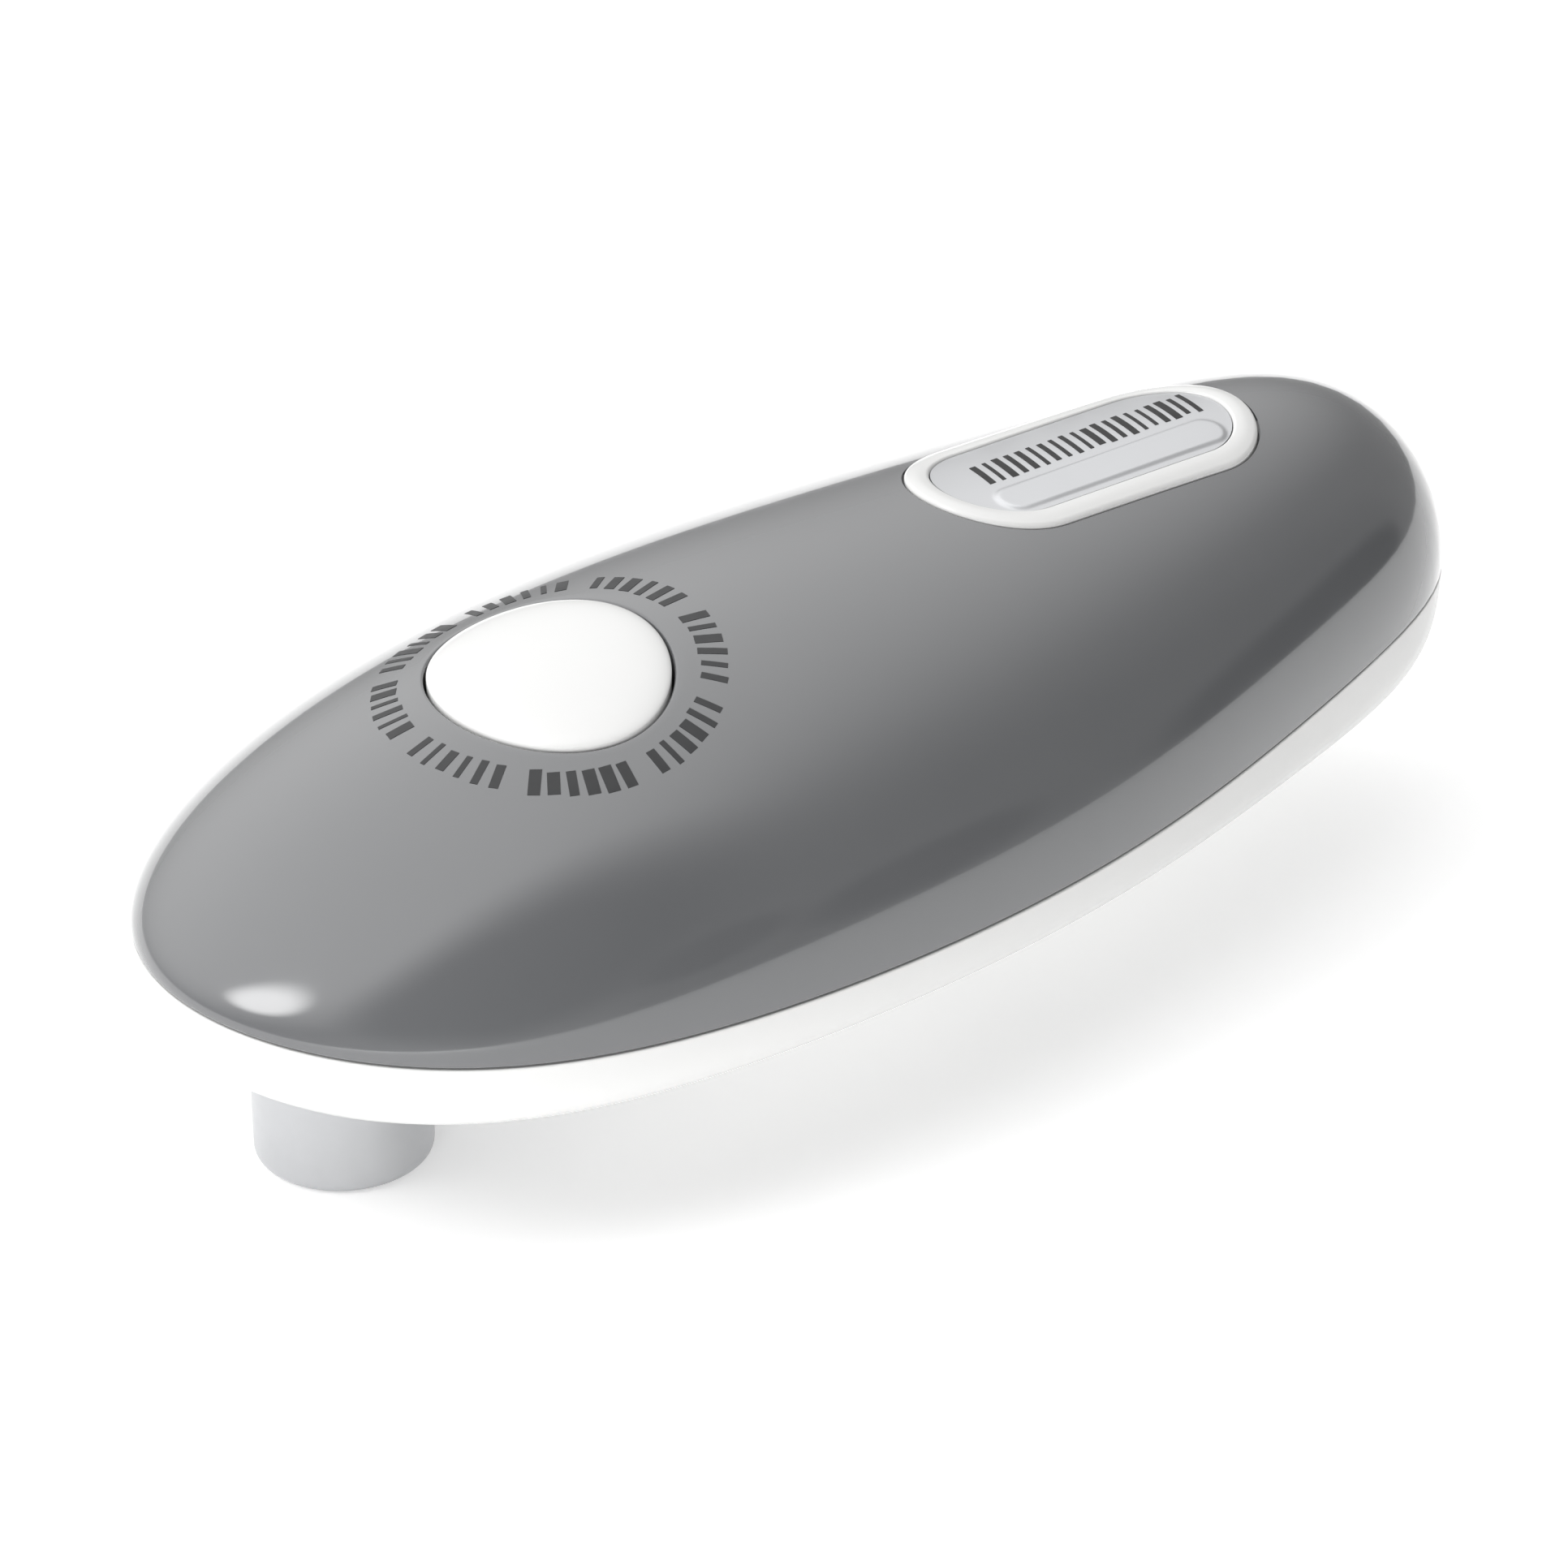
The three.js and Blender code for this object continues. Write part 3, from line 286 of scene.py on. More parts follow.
# Hardened and turned steel of the cutting disc, bright at its bevel.
CUTTER_STEEL = Finish("tool_steel_turned", "stainless", "#c2c3c6", 0.2, metallic=1.0, grain=Grain.TURNED,
                      grain_mm=0.2, grain_um=2.0, mottle_mm=5.0, centre=(-75.3, 4.6))
# Hardened drive wheel, turned on its faces.
WHEEL_STEEL = Finish("tool_steel_hobbed", "stainless", "#b4b5b8", 0.3, metallic=1.0, grain=Grain.TURNED,
                     grain_mm=0.25, grain_um=2.5, mottle_mm=4.0, centre=(-54.2, 0.0))
# Zinc-plated steel: bright with a faint blue bloom.
ZINC_STEEL = Finish("steel_zinc_plated", "zinc_steel", "#c3c7cb", 0.32, metallic=1.0, grain=Grain.CAST,
                    grain_mm=0.8, grain_um=2.0, mottle_mm=5.0, mottle=0.06)
# Ground bar for shafts and pins.
GROUND_STEEL = Finish("steel_bar_ground", "ground_steel", "#c8c9cb", 0.22, metallic=1.0, grain=Grain.TURNED,
                      grain_mm=0.3, grain_um=1.5, mottle_mm=5.0)
# Sintered gear steel: grey, granular, holding oil.
SINTERED = Finish("steel_sintered_oiled", "sintered_steel", "#84858a", 0.42, metallic=1.0, grain=Grain.CAST,
                  grain_mm=0.35, grain_um=8.0, mottle_mm=3.0, mottle=0.1)
# Nickel-plated spring wire and strip.
SPRING_STEEL = Finish("spring_steel_nickel", "spring_steel", "#cfcdc8", 0.2, metallic=1.0, grain=Grain.CAST,
                      grain_mm=0.5, grain_um=1.0, mottle_mm=3.0)
# Turned brass of the bushes and the worm.
BRASS = Finish("brass_turned", "brass", "#d0a858", 0.26, metallic=1.0, grain=Grain.CAST, grain_mm=0.4,
               grain_um=2.0, mottle_mm=4.0, mottle=0.06)
# Natural acetal: creamy and waxy.
ACETAL = Finish("acetal_natural", "nylon", "#ebe7da", 0.42, ior=1.48, grain=Grain.SPARK, grain_mm=0.6,
                grain_um=3.0, mottle_mm=6.0)
# Black ABS with a fine matt tool texture.
BLACK_ABS = Finish("black_abs_textured", "black_plastic", "#1d1d1f", 0.5, grain=Grain.SPARK, grain_mm=0.4,
                   grain_um=8.0, mottle_mm=8.0, mottle=0.08)
# Solder mask over glass-fibre board.
BOARD = Finish("board_solder_mask", "board_green", "#1c5a35", 0.3, grain=Grain.SPARK, grain_mm=0.8,
               grain_um=4.0, mottle_mm=5.0, mottle=0.08)
# Dark nickel over ferrite.
MAGNET_SKIN = Finish("ferrite_nickel_plated", "magnet", "#6a6b6e", 0.3, metallic=1.0, grain=Grain.TURNED,
                     grain_mm=0.4, grain_um=2.0, mottle_mm=4.0, centre=(-36.2, 0.0))
# Shrink sleeve of a cell.
SLEEVE = Finish("cell_sleeve_printed", "cell_sleeve", "#3d5d77", 0.25, grain_mm=1.5, grain_um=4.0,
                mottle_mm=6.0, mottle=0.03)
# Second colour of the cells' sleeve.
SLEEVE_BAND = Finish("cell_sleeve_band", "cell_sleeve", "#c9b27a", 0.28, metallic=0.4, grain_mm=1.5,
                     grain_um=4.0, mottle_mm=6.0, mottle=0.03)
# PVC insulation of the leads.
RED_PVC = Finish("pvc_red", "lead_red", "#b32420", 0.45, ior=1.53, grain_mm=0.8, grain_um=4.0, mottle_mm=3.0)
BLACK_PVC = Finish("pvc_black", "lead_black", "#1a1a1b", 0.45, ior=1.53, grain_mm=0.8, grain_um=4.0,
                   mottle_mm=3.0)
# Pad-printed ink: darker and a little duller than the housing under it.
INK = Finish("ink_pad_printed", "grey_gloss", "#1f2022", 0.4, grain=Grain.SPARK, grain_mm=0.3, grain_um=2.0,
             mottle_mm=3.0, mottle=0.12)
BLACK_INK = Finish("ink_black_printed", "silver_plate", "#0b0b0c", 0.5, grain=Grain.SPARK, grain_mm=0.3,
                   grain_um=2.0, mottle_mm=3.0, mottle=0.12)
# Matt white paper of the floor.
PAPER = Finish("paper_matt_white", "white_gloss", "#f7f7f7", 0.8, grain=Grain.SPARK, grain_mm=3.0,
               grain_um=2.0, mottle_mm=200.0, mottle=0.0, gloss_change=0.0, glow=0.3)


# ---- Mesh making -----------------------------------------------------------------------------------
def mesh_object(name: str, points: np.ndarray, faces: Sequence[Sequence[int]], sharp_deg: float = 32.0,
                ) -> bpy.types.Object:
    """Makes a smooth-shaded mesh object, with its doubles merged and its faces pointing out.

    Args:
        name: the object's name.
        points: corners in millimetres.
        faces: corner numbers of each face.
        sharp_deg: edges that turn more than this are shaded sharp.

    Returns:
        The new object, linked to the scene.
    """
    mesh = bpy.data.meshes.new(name)
    mesh.from_pydata((np.asarray(points) * MM).tolist(), [], faces)
    work = bmesh.new()
    work.from_mesh(mesh)
    bmesh.ops.remove_doubles(work, verts=work.verts, dist=1e-7)
    bmesh.ops.recalc_face_normals(work, faces=work.faces)
    work.to_mesh(mesh)
    work.free()
    return link(name, mesh, sharp_deg)


def link(name: str, mesh: bpy.types.Mesh, sharp_deg: float = 32.0) -> bpy.types.Object:
    """Puts a mesh in the scene as an object at the origin, smooth apart from its sharp edges.

    Args:
        name: the object's name.
        mesh: its mesh.
        sharp_deg: edges that turn more than this are shaded sharp.

    Returns:
        The new object.
    """
    mesh.polygons.foreach_set("use_smooth", np.ones(len(mesh.polygons), dtype=bool))
    mesh.set_sharp_from_angle(angle=math.radians(sharp_deg))
    made = bpy.data.objects.new(name, mesh)
    bpy.context.scene.collection.objects.link(made)
    return made


def loft(rings: Sequence[Ring], cap_start: bool = True, cap_end: bool = True, closed: bool = False,
         ) -> tuple[np.ndarray, list[tuple[int, ...]]]:
    """Joins rings of points, all of one length, with four-cornered faces.

    Args:
        rings: arrays of points, each going once round.
        cap_start: close the first ring with one face.
        cap_end: close the last ring with one face.
        closed: join the last ring to the first, in place of the caps.

    Returns:
        The points and the faces.
    """
    count = len(rings[0])
    faces: list[tuple[int, ...]] = []
    spans = len(rings) if closed else len(rings) - 1
    for k in range(spans):
        low, high = k * count, ((k + 1) % len(rings)) * count
        for i in range(count):
            j = (i + 1) % count
            faces.append((low + i, low + j, high + j, high + i))
    if not closed and cap_start:
        faces.append(tuple(reversed(range(count))))
    if not closed and cap_end:
        faces.append(tuple(range((len(rings) - 1) * count, len(rings) * count)))
    return np.concatenate(rings), faces


def circle(x: float, y: float, z: float, radius: float, count: int) -> Ring:
    """A level ring of points round (x, y)."""
    angle = np.linspace(0, 2 * math.pi, count, endpoint=False)
    return np.stack([x + radius * np.cos(angle), y + radius * np.sin(angle), np.full(count, z)], axis=1)


def fillet(radius: float, steps: int = 4) -> list[tuple[float, float]]:
    """A quarter round as pairs (distance in from the side, distance down from the face), from the face on."""
    angles = [0.5 * math.pi * k / steps for k in range(steps + 1)]
    return [(radius * (1 - math.sin(a)), radius * (1 - math.cos(a))) for a in angles]


def turned(name: str, profile: Sequence[tuple[float, float]], x: float, y: float, count: int = 96,
           ) -> bpy.types.Object:
    """A solid turned about the upright axis through (x, y).

    Args:
        name: the object's name.
        profile: pairs (radius, z) once along the outline; it is closed on itself unless it starts and
            ends on the axis.
        x: the axis's place.
        y: the axis's place.
        count: points round.

    Returns:
        The new object.
    """
    tiny = 1e-4
    on_axis = profile[0][0] == 0 and profile[-1][0] == 0
    rings = [circle(x, y, z, max(r, tiny), count) for r, z in profile]
    points, faces = loft(rings, closed=not on_axis)
    return mesh_object(name, points, faces)


def rounded_profile(corners: Sequence[tuple[float, float, float]], steps: int = 4,
                    ) -> list[tuple[float, float]]:
    """Rounds the corners of an outline of (radius, z, corner radius) points.

    Args:
        corners: the outline's corners, with the radius of each.
        steps: points along each round.

    Returns:
        The outline's points.
    """
    outline: list[tuple[float, float]] = []
    for i, (r, z, bend) in enumerate(corners):
        here = np.array((r, z))
        if bend <= 0:
            outline.append((r, z))
            continue
        before = np.array(corners[i - 1][:2]) - here
        after = np.array(corners[(i + 1) % len(corners)][:2]) - here
        start = here + before / np.linalg.norm(before) * bend
        end = here + after / np.linalg.norm(after) * bend
        for k in range(steps + 1):
            t = k / steps
            curve = (1 - t) ** 2 * start + 2 * t * (1 - t) * here + t ** 2 * end
            outline.append((float(curve[0]), float(curve[1])))
    return outline


def cut(piece: bpy.types.Object, cutters: Iterable[bpy.types.Object], operation: str = "DIFFERENCE") -> None:
    """Cuts a solid with others, which are used up, and keeps its plain mesh and its name.

    Args:
        piece: the solid to change.
        cutters: the other solids.
        operation: the boolean's kind, such as DIFFERENCE or UNION.
    """
    for cutter in cutters:
        change = piece.modifiers.new("cut", "BOOLEAN")
        change.operation = operation
        change.object = cutter
        change.solver = "MANIFOLD"
        settle(piece)
        bpy.data.objects.remove(cutter)


def settle(piece: bpy.types.Object, sharp_deg: float = 32.0) -> None:
    """Turns a piece's modifiers into plain mesh.

    Args:
        piece: the object to change.
        sharp_deg: edges that turn more than this are shaded sharp.
    """
    shown = piece.evaluated_get(bpy.context.evaluated_depsgraph_get())
    mesh = bpy.data.meshes.new_from_object(shown)
    piece.modifiers.clear()
    old, piece.data = piece.data, mesh
    bpy.data.meshes.remove(old)
    mesh.polygons.foreach_set("use_smooth", np.ones(len(mesh.polygons), dtype=bool))
    mesh.set_sharp_from_angle(angle=math.radians(sharp_deg))


def place_piece(piece: bpy.types.Object, finish: Finish, body: str, nodes: Sequence[str]) -> None:
    """Gives a piece its finish and its body, and hides the frame's nodes that it stands for.

    Args:
        piece: the finished object.
        finish: its material.
        body: the body it moves with.
        nodes: the nodes that it replaces.
    """
    piece.data.materials.clear()
    piece.data.materials.append(finish.build())
    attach(piece, body)
    if nodes:
        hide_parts(*nodes)
    log.info("%s: %d faces, %s, on %s", piece.name, len(piece.data.polygons), finish.name, body)


# ---- The body's shape ------------------------------------------------------------------------------
@dataclass(frozen=True)
class BodyShape:
    """The opener's outer form: half ellipses across, over a plan that is fuller at the nose.

    plan, crown and seam hold the coefficients of polynomials in the lengthwise place, -1 at the nose and
    +1 at the rear, for the plan's width, the dome's height and the seam's height over the underside.
    """

    length: float = 195.0
    width: float = 83.1
    height: float = 32.3
    base: float = 16.0
    seam_gap: float = 0.3
    wall: float = 2.0
    plan: tuple[float, ...] = (1.0, -0.178, 0.028, -0.222, 0.281, 0.35)
    crown: tuple[float, ...] = (1.0, -0.067, 0.108, 0.436, -0.029, 0.196)
    seam: tuple[float, ...] = (9.5, 1.48, 5.28)
    hull_inset: float = 8.9
    hull_end: float = 1.5
    hull_power: float = 2.6

    @staticmethod
    def curve(coefficients: Sequence[float], a: np.ndarray) -> np.ndarray:
        """The polynomial's value at a."""
        return sum(c * a ** k for k, c in enumerate(coefficients))

    def seam_z(self, a: np.ndarray) -> np.ndarray:
        """The seam's height at the lengthwise place a."""
        return self.base + self.curve(self.seam, a)

    def dome(self, a: np.ndarray, b: np.ndarray, wall: float = 0.0) -> Ring:
        """Points of the dome over the unit disc's points (a, b), a wall's thickness in.

        Args:
            a: places along X, from -1 to 1.
            b: places along Y, from -1 to 1.
            wall: how far in from the outer face, in millimetres.

        Returns:
            The points.
        """
        rise = np.sqrt(np.clip(1 - a * a - b * b, 0, None))
        x = (self.length / 2 - wall) * a
        y = (self.width / 2 * self.curve(self.plan, a) - wall) * b
        z = self.seam_z(a) + (self.height * self.curve(self.crown, a) - wall) * rise
        return np.stack([x, y, z], axis=-1)

    def disc(self, x: np.ndarray, y: np.ndarray, wall: float = 0.0) -> tuple[np.ndarray, np.ndarray]:
        """The unit disc's point under the dome's point (x, y)."""
        a = x / (self.length / 2 - wall)
        return a, y / (self.width / 2 * self.curve(self.plan, a) - wall)

    def dome_z(self, x: np.ndarray, y: np.ndarray) -> np.ndarray:
        """The dome's height over (x, y)."""
        a, b = self.disc(x, y)
        return self.dome(a, b)[..., 2]

    def hull_ring(self, q: float, wall: float, bottom: float, count: int) -> Ring:
        """A ring of the lower housing's side at the share q of the way down from the seam.

        Args:
            q: 0 at the seam and 1 at the bottom.
            wall: how far in from the outer face.
            bottom: the height of the lowest ring.
            count: points round.

        Returns:
            The ring.
        """
        inset = self.hull_inset * (1 - (1 - q ** self.hull_power) ** (1 / self.hull_power))
        angle = np.linspace(0, 2 * math.pi, count, endpoint=False)
        a = np.cos(angle)
        half = self.width / 2 * self.curve(self.plan, a) - wall
        top = self.seam_z(a) - self.seam_gap
        x = (self.length / 2 - wall - inset * self.hull_end) * a
        y = half * (1 - inset / (self.width / 2)) * np.sin(angle)
        return np.stack([x, y, top + (bottom - top) * q], axis=1)


BODY = BodyShape()


def stadium(x: float, half_x: float, half_y: float, count: int) -> tuple[np.ndarray, np.ndarray]:
    """An outline with straight sides and round ends.

    Args:
        x: its middle's place; it lies on the centre line.
        half_x: half its length.
        half_y: half its width, which is its ends' radius.
        count: points round, half of them on the ends.

    Returns:
        The points (x, y) and the outward direction at each.
    """
    straight = half_x - half_y
    sides, ends = count // 4, count // 4
    turn = np.linspace(-math.pi / 2, math.pi / 2, ends, endpoint=False)
    run = np.linspace(straight, -straight, sides, endpoint=False)
    right = np.stack([straight + half_y * np.cos(turn), half_y * np.sin(turn)], axis=1)
    top = np.stack([run, np.full(sides, half_y)], axis=1)
    points = np.concatenate([right, top, -right, -top]) + (x, 0.0)
    outward = np.concatenate([
        np.stack([np.cos(turn), np.sin(turn)], axis=1), np.tile((0.0, 1.0), (sides, 1)),
        np.stack([-np.cos(turn), -np.sin(turn)], axis=1), np.tile((0.0, -1.0), (sides, 1)),
    ])
    return points, outward


def rounded_rectangle(x0: float, x1: float, half_y: float, corner: float, grow: float, z: float) -> Ring:
    """A level ring round a rectangle with round corners, grown all round.

    Args:
        x0: its front end.
        x1: its rear end.
        half_y: half its width.
        corner: the radius of its corners.
        grow: how far it is grown outward.
        z: its height.

    Returns:
        The ring.
    """
    points = []
    per_corner = 9
    bend = corner + grow
    middles = [(x1 - corner, half_y - corner, 0), (x0 + corner, half_y - corner, 1),
               (x0 + corner, corner - half_y, 2), (x1 - corner, corner - half_y, 3)]
    for x, y, quarter in middles:
        for angle in np.linspace(quarter * math.pi / 2, (quarter + 1) * math.pi / 2, per_corner):
            points.append((x + bend * math.cos(angle), y + bend * math.sin(angle), z))
    return np.array(points)


def flared_cutter(ring_at: Callable[[float, float], Ring], face: float, top: float, edge: float,
                  ) -> bpy.types.Object:
    """A cutter for a hole upwards from a level face that leaves a rounded edge.

    Args:
        ring_at: gives the hole's ring for a growth and a height.
        face: the height of the face that it opens in.
        top: how high the cut goes.
        edge: the radius of the rounded edge.

    Returns:
        The cutter.
    """
    rings = [ring_at(edge, face - 1.5)]
    rings += [ring_at(inward, face + down) for inward, down in fillet(edge)]
    rings.append(ring_at(0.0, top))
    return mesh_object("cutter", *loft(rings))


def round_cutter(x: float, y: float, radius: float, face: float, top: float, edge: float = 0.3,
                 ) -> bpy.types.Object:
    """A flared cutter for a round hole."""
    return flared_cutter(lambda grow, z: circle(x, y, z, radius + grow, 64), face, top, edge)


def cross_cutter(x: float, y: float, face: float, depth: float, size: float) -> bpy.types.Object:
    """A cutter for the cross recess of a screw whose head faces down, narrowing as it goes in.

    Args:
        x: the screw's place.
        y: the screw's place.
        face: the height of the head's face.
        depth: how deep the recess goes.
        size: the length of its arms.

    Returns:
        The cutter.
    """
    def ring(scale: float, z: float) -> Ring:
        """The cross at one height, scaled."""
        arm, half = size * scale, size * 0.22 * (0.55 + 0.45 * scale)
        corner = [(arm, -half), (arm, half), (half, half), (half, arm), (-half, arm), (-half, half),
                  (-arm, half), (-arm, -half), (-half, -half), (-half, -arm), (half, -arm), (half, -half)]
        return np.array([(x + u, y + v, z) for u, v in corner])
    return mesh_object("cutter", *loft([ring(1.05, face - 0.5), ring(1.0, face), ring(0.45, face + depth)]))


def merge(name: str, objects: Sequence[bpy.types.Object]) -> bpy.types.Object:
    """Puts the meshes of several objects into one, and removes the objects.

    Args:
        name: the new object's name.
        objects: what goes into it.

    Returns:
        The new object.
    """
    work = bmesh.new()
    for item in objects:
        work.from_mesh(item.data)
        bpy.data.objects.remove(item)
    mesh = bpy.data.meshes.new(name)
    work.to_mesh(mesh)
    work.free()
    return link(name, mesh)


def soft_block(x: Sequence[float], y: Sequence[float], z: Sequence[float], bend: float = 0.3,
               ) -> bpy.types.Object:
    """A block with rounded edges between pairs of limits.

    Args:
        x: its two limits along X.
        y: its two limits along Y.
        z: its two limits along Z.
        bend: the radius of its edges.

    Returns:
        The block.
    """
    corners = [(px, py, pz) for px in x for py in y for pz in z]
    faces = [(0, 1, 3, 2), (4, 6, 7, 5), (0, 4, 5, 1), (2, 3, 7, 6), (0, 2, 6, 4), (1, 5, 7, 3)]
    made = mesh_object("block", np.array(corners), faces)
    work = bmesh.new()
    work.from_mesh(made.data)
    bmesh.ops.bevel(work, geom=work.edges[:], offset=bend * MM, segments=3, profile=0.5, affect="EDGES")
    work.to_mesh(made.data)
    work.free()
    return link("block", replace_mesh(made))


def replace_mesh(item: bpy.types.Object) -> bpy.types.Mesh:
    """Takes the mesh out of an object, which is removed.

    Args:
        item: the object to remove.

    Returns:
        Its mesh.
    """
    mesh = item.data
    bpy.data.objects.remove(item)
    return mesh


def lay_along_x(item: bpy.types.Object, x: float, y: float, z: float, backward: bool = False,
                ) -> bpy.types.Object:
    """Turns an upright part to lie along X, starting at (x, y, z), or ending there if it runs backward.

    Args:
        item: the part to turn.
        x: where it starts or ends.
        y: the place of its axis.
        z: the height of its axis.
        backward: whether it runs toward lower X.

    Returns:
        The same part.
    """
    turn = Matrix.Rotation(math.radians(-90 if backward else 90), 4, "Y")
    item.data.transform(Matrix.Translation(Vector((x, y, z)) * MM) @ turn)
    return item


def tube(path: np.ndarray, radius: float, sides: int = 12) -> bpy.types.Object:
    """A round wire along a path, closed at both ends.

    Args:
        path: points along its middle, in millimetres.
        radius: half its thickness.
        sides: points round the wire.

    Returns:
        The wire.
    """
    along = np.gradient(path, axis=0)
    along /= np.linalg.norm(along, axis=1, keepdims=True)
    side = np.cross(along, (0.0, 0.0, 1.0))
    side /= np.linalg.norm(side, axis=1, keepdims=True)
    other = np.cross(along, side)
    rings = []
    for k, middle in enumerate(path):
        angle = np.linspace(0, 2 * math.pi, sides, endpoint=False)[:, None]
        rings.append(middle + radius * (np.cos(angle) * side[k] + np.sin(angle) * other[k]))
    return mesh_object("tube", *loft(rings), sharp_deg=60)


def even_normals(piece: bpy.types.Object) -> None:
    """Weights the shading by the faces' size, so that flat faces stay flat beside their rounded edges."""
    piece.modifiers.new("normals", "WEIGHTED_NORMAL").keep_sharp = True
    settle(piece, sharp_deg=40)


# ---- Patterns grown by geometry nodes --------------------------------------------------------------
class Layout(Enum):
    """Where a row of repeated parts lies."""

    RING = "evenly round an ellipse"
    ROW = "evenly along X"
    GIVEN = "on the points of the piece's own mesh"


@dataclass(frozen=True)
class Pattern:
    """A repeated part: bars that hug a surface, or copies of another piece.

    Lengths are millimetres. reach is the ellipse's half lengths, or the row's half length and its offset
    across. Every gap_every-th place is left empty.
    """

    name: str
    layout: Layout
    count: int = 1
    centre: tuple[float, float, float] = (0.0, 0.0, 0.0)
    reach: tuple[float, float] = (0.0, 0.0)
    bar: tuple[float, float, float] = (1.0, 1.0, 0.06)
    least: tuple[float, float] = (1.0, 1.0)
    slant: float = 0.0
    gap_every: int = 1000
    seed: int = 7

    def build(self, finish: Finish, surface: bpy.types.Object | None = None,
              part: bpy.types.Object | None = None, points: Sequence[Point] = ((0.0, 0.0, 0.0),),
              ) -> bpy.types.Object:
        """Grows the pattern and returns it as a plain mesh object.

        Args:
            finish: the material set on it.
            surface: what the bars are laid on, from above.
            part: the piece that is copied, which is then removed.
            points: the places of a GIVEN layout.

        Returns:
            The pattern's object.
        """
        mesh = bpy.data.meshes.new(self.name)
        mesh.from_pydata([tuple(c * MM for c in p) for p in points], [], [])
        made = bpy.data.objects.new(self.name, mesh)
        bpy.context.scene.collection.objects.link(made)
        tree = self.tree(finish, surface is not None, part is not None)
        grown = made.modifiers.new("pattern", "NODES")
        grown.node_group = tree
        values = {"Surface": surface, "Part": part, "Count": self.count, "Seed": self.seed}
        for item in tree.interface.items_tree:
            if item.item_type == "SOCKET" and item.in_out == "INPUT" and values.get(item.name) is not None:
                grown[item.identifier] = values[item.name]
        made.update_tag()
        settle(made)
        if part:
            bpy.data.objects.remove(part)
        return made

    def tree(self, finish: Finish, laid: bool, copies: bool) -> bpy.types.NodeTree:
        """Makes the pattern's node tree, with its inputs named.

        Args:
            finish: the finish of what it makes.
            laid: whether the bars drop on a surface.
            copies: whether it repeats another object in place of bars.

        Returns:
            The node tree.
        """
        tree = bpy.data.node_groups.new(self.name, "GeometryNodeTree")
        sockets = [("Geometry", "INPUT", "NodeSocketGeometry"), ("Surface", "INPUT", "NodeSocketObject"),
                   ("Part", "INPUT", "NodeSocketObject"), ("Count", "INPUT", "NodeSocketInt"),
                   ("Seed", "INPUT", "NodeSocketInt"), ("Geometry", "OUTPUT", "NodeSocketGeometry")]
        for name, way, kind in sockets:
            tree.interface.new_socket(name, in_out=way, socket_type=kind)
        given = add_node(tree, "NodeGroupInput").outputs
        places = self.places(tree, given)
        if copies:
            part = add_node(tree, "GeometryNodeObjectInfo", {"Object": given["Part"]}).outputs["Geometry"]
            inputs = {"Points": places, "Instance": part}
        else:
            size = tuple(s * MM for s in self.bar)
            bar = add_node(tree, "GeometryNodeMeshCube", {"Size": size, "Vertices X": 4, "Vertices Y": 7})
            inputs = {"Points": places, "Instance": bar.outputs["Mesh"], "Scale": self.sizes(tree, given),
                      "Rotation": self.turn(tree), "Selection": self.kept(tree)}
        copied = add_node(tree, "GeometryNodeInstanceOnPoints", inputs).outputs[0]
        real = add_node(tree, "GeometryNodeRealizeInstances", {0: copied}).outputs[0]
        if self.slant:
            real = self.slanted(tree, real)
        if laid:
            real = self.laid_on(tree, real, given["Surface"])
        inked = add_node(tree, "GeometryNodeSetMaterial", {"Geometry": real, "Material": finish.build()})
        add_node(tree, "NodeGroupOutput", {0: inked.outputs[0]})
        return tree

    def places(self, tree: bpy.types.NodeTree, given: Sequence[Socket]) -> Socket:
        """The points that the parts are put on.

        Args:
            tree: the node tree that it goes in.
            given: the tree's inputs by name.

        Returns:
            The points.
        """
        if self.layout is Layout.GIVEN:
            return given["Geometry"]
        centre = tuple(c * MM for c in self.centre)
        if self.layout is Layout.ROW:
            start = (centre[0] - self.reach[0] * MM, centre[1] + self.reach[1] * MM, centre[2])
            step = (2 * self.reach[0] * MM / max(1, self.count - 1), 0.0, 0.0)
            return add_node(tree, "GeometryNodeMeshLine",
                            {"Count": given["Count"], "Start Location": start, "Offset": step}).outputs[0]
        round_one = {"Vertices": given["Count"], "Radius": 1.0}
        ring = add_node(tree, "GeometryNodeMeshCircle", round_one).outputs[0]
        scale = (self.reach[0] * MM, self.reach[1] * MM, 1.0)
        return add_node(tree, "GeometryNodeTransform",
                        {"Geometry": ring, "Translation": centre, "Scale": scale}).outputs[0]

    def turn(self, tree: bpy.types.NodeTree) -> Socket:
        """The bars' rotation: across the ring, or none along a row.

        Args:
            tree: the node tree that it goes in.

        Returns:
            The rotation.
        """
        place = add_node(tree, "GeometryNodeInputPosition").outputs[0]
        middle = tuple(c * MM for c in self.centre)
        away = add_node(tree, "ShaderNodeVectorMath", {0: place, 1: middle}, operation="SUBTRACT").outputs[0]
        if self.layout is Layout.ROW:
            across = {0: away, 1: (0.0, 0.0, 0.0), 2: (0.0, 1.0, 0.0)}
            away = add_node(tree, "ShaderNodeVectorMath", across, operation="MULTIPLY_ADD").outputs[0]
        return add_node(tree, "FunctionNodeAlignRotationToVector", {"Vector": away}, axis="Y",
                        pivot_axis="Z").outputs[0]

    def sizes(self, tree: bpy.types.NodeTree, given: Sequence[Socket]) -> Socket:
        """A random size for each bar, between the least share and the whole.

        Args:
            tree: the node tree that it goes in.
            given: the tree's inputs by name.

        Returns:
            The sizes.
        """
        node = add_node(tree, "FunctionNodeRandomValue", data_type="FLOAT_VECTOR")
        low, high = node.inputs[0], node.inputs[1]
        low.default_value = (self.least[0], self.least[1], 1.0)
        high.default_value = (1.0, 1.0, 1.0)
        tree.links.new(given["Seed"], node.inputs["Seed"])
        return node.outputs[0]

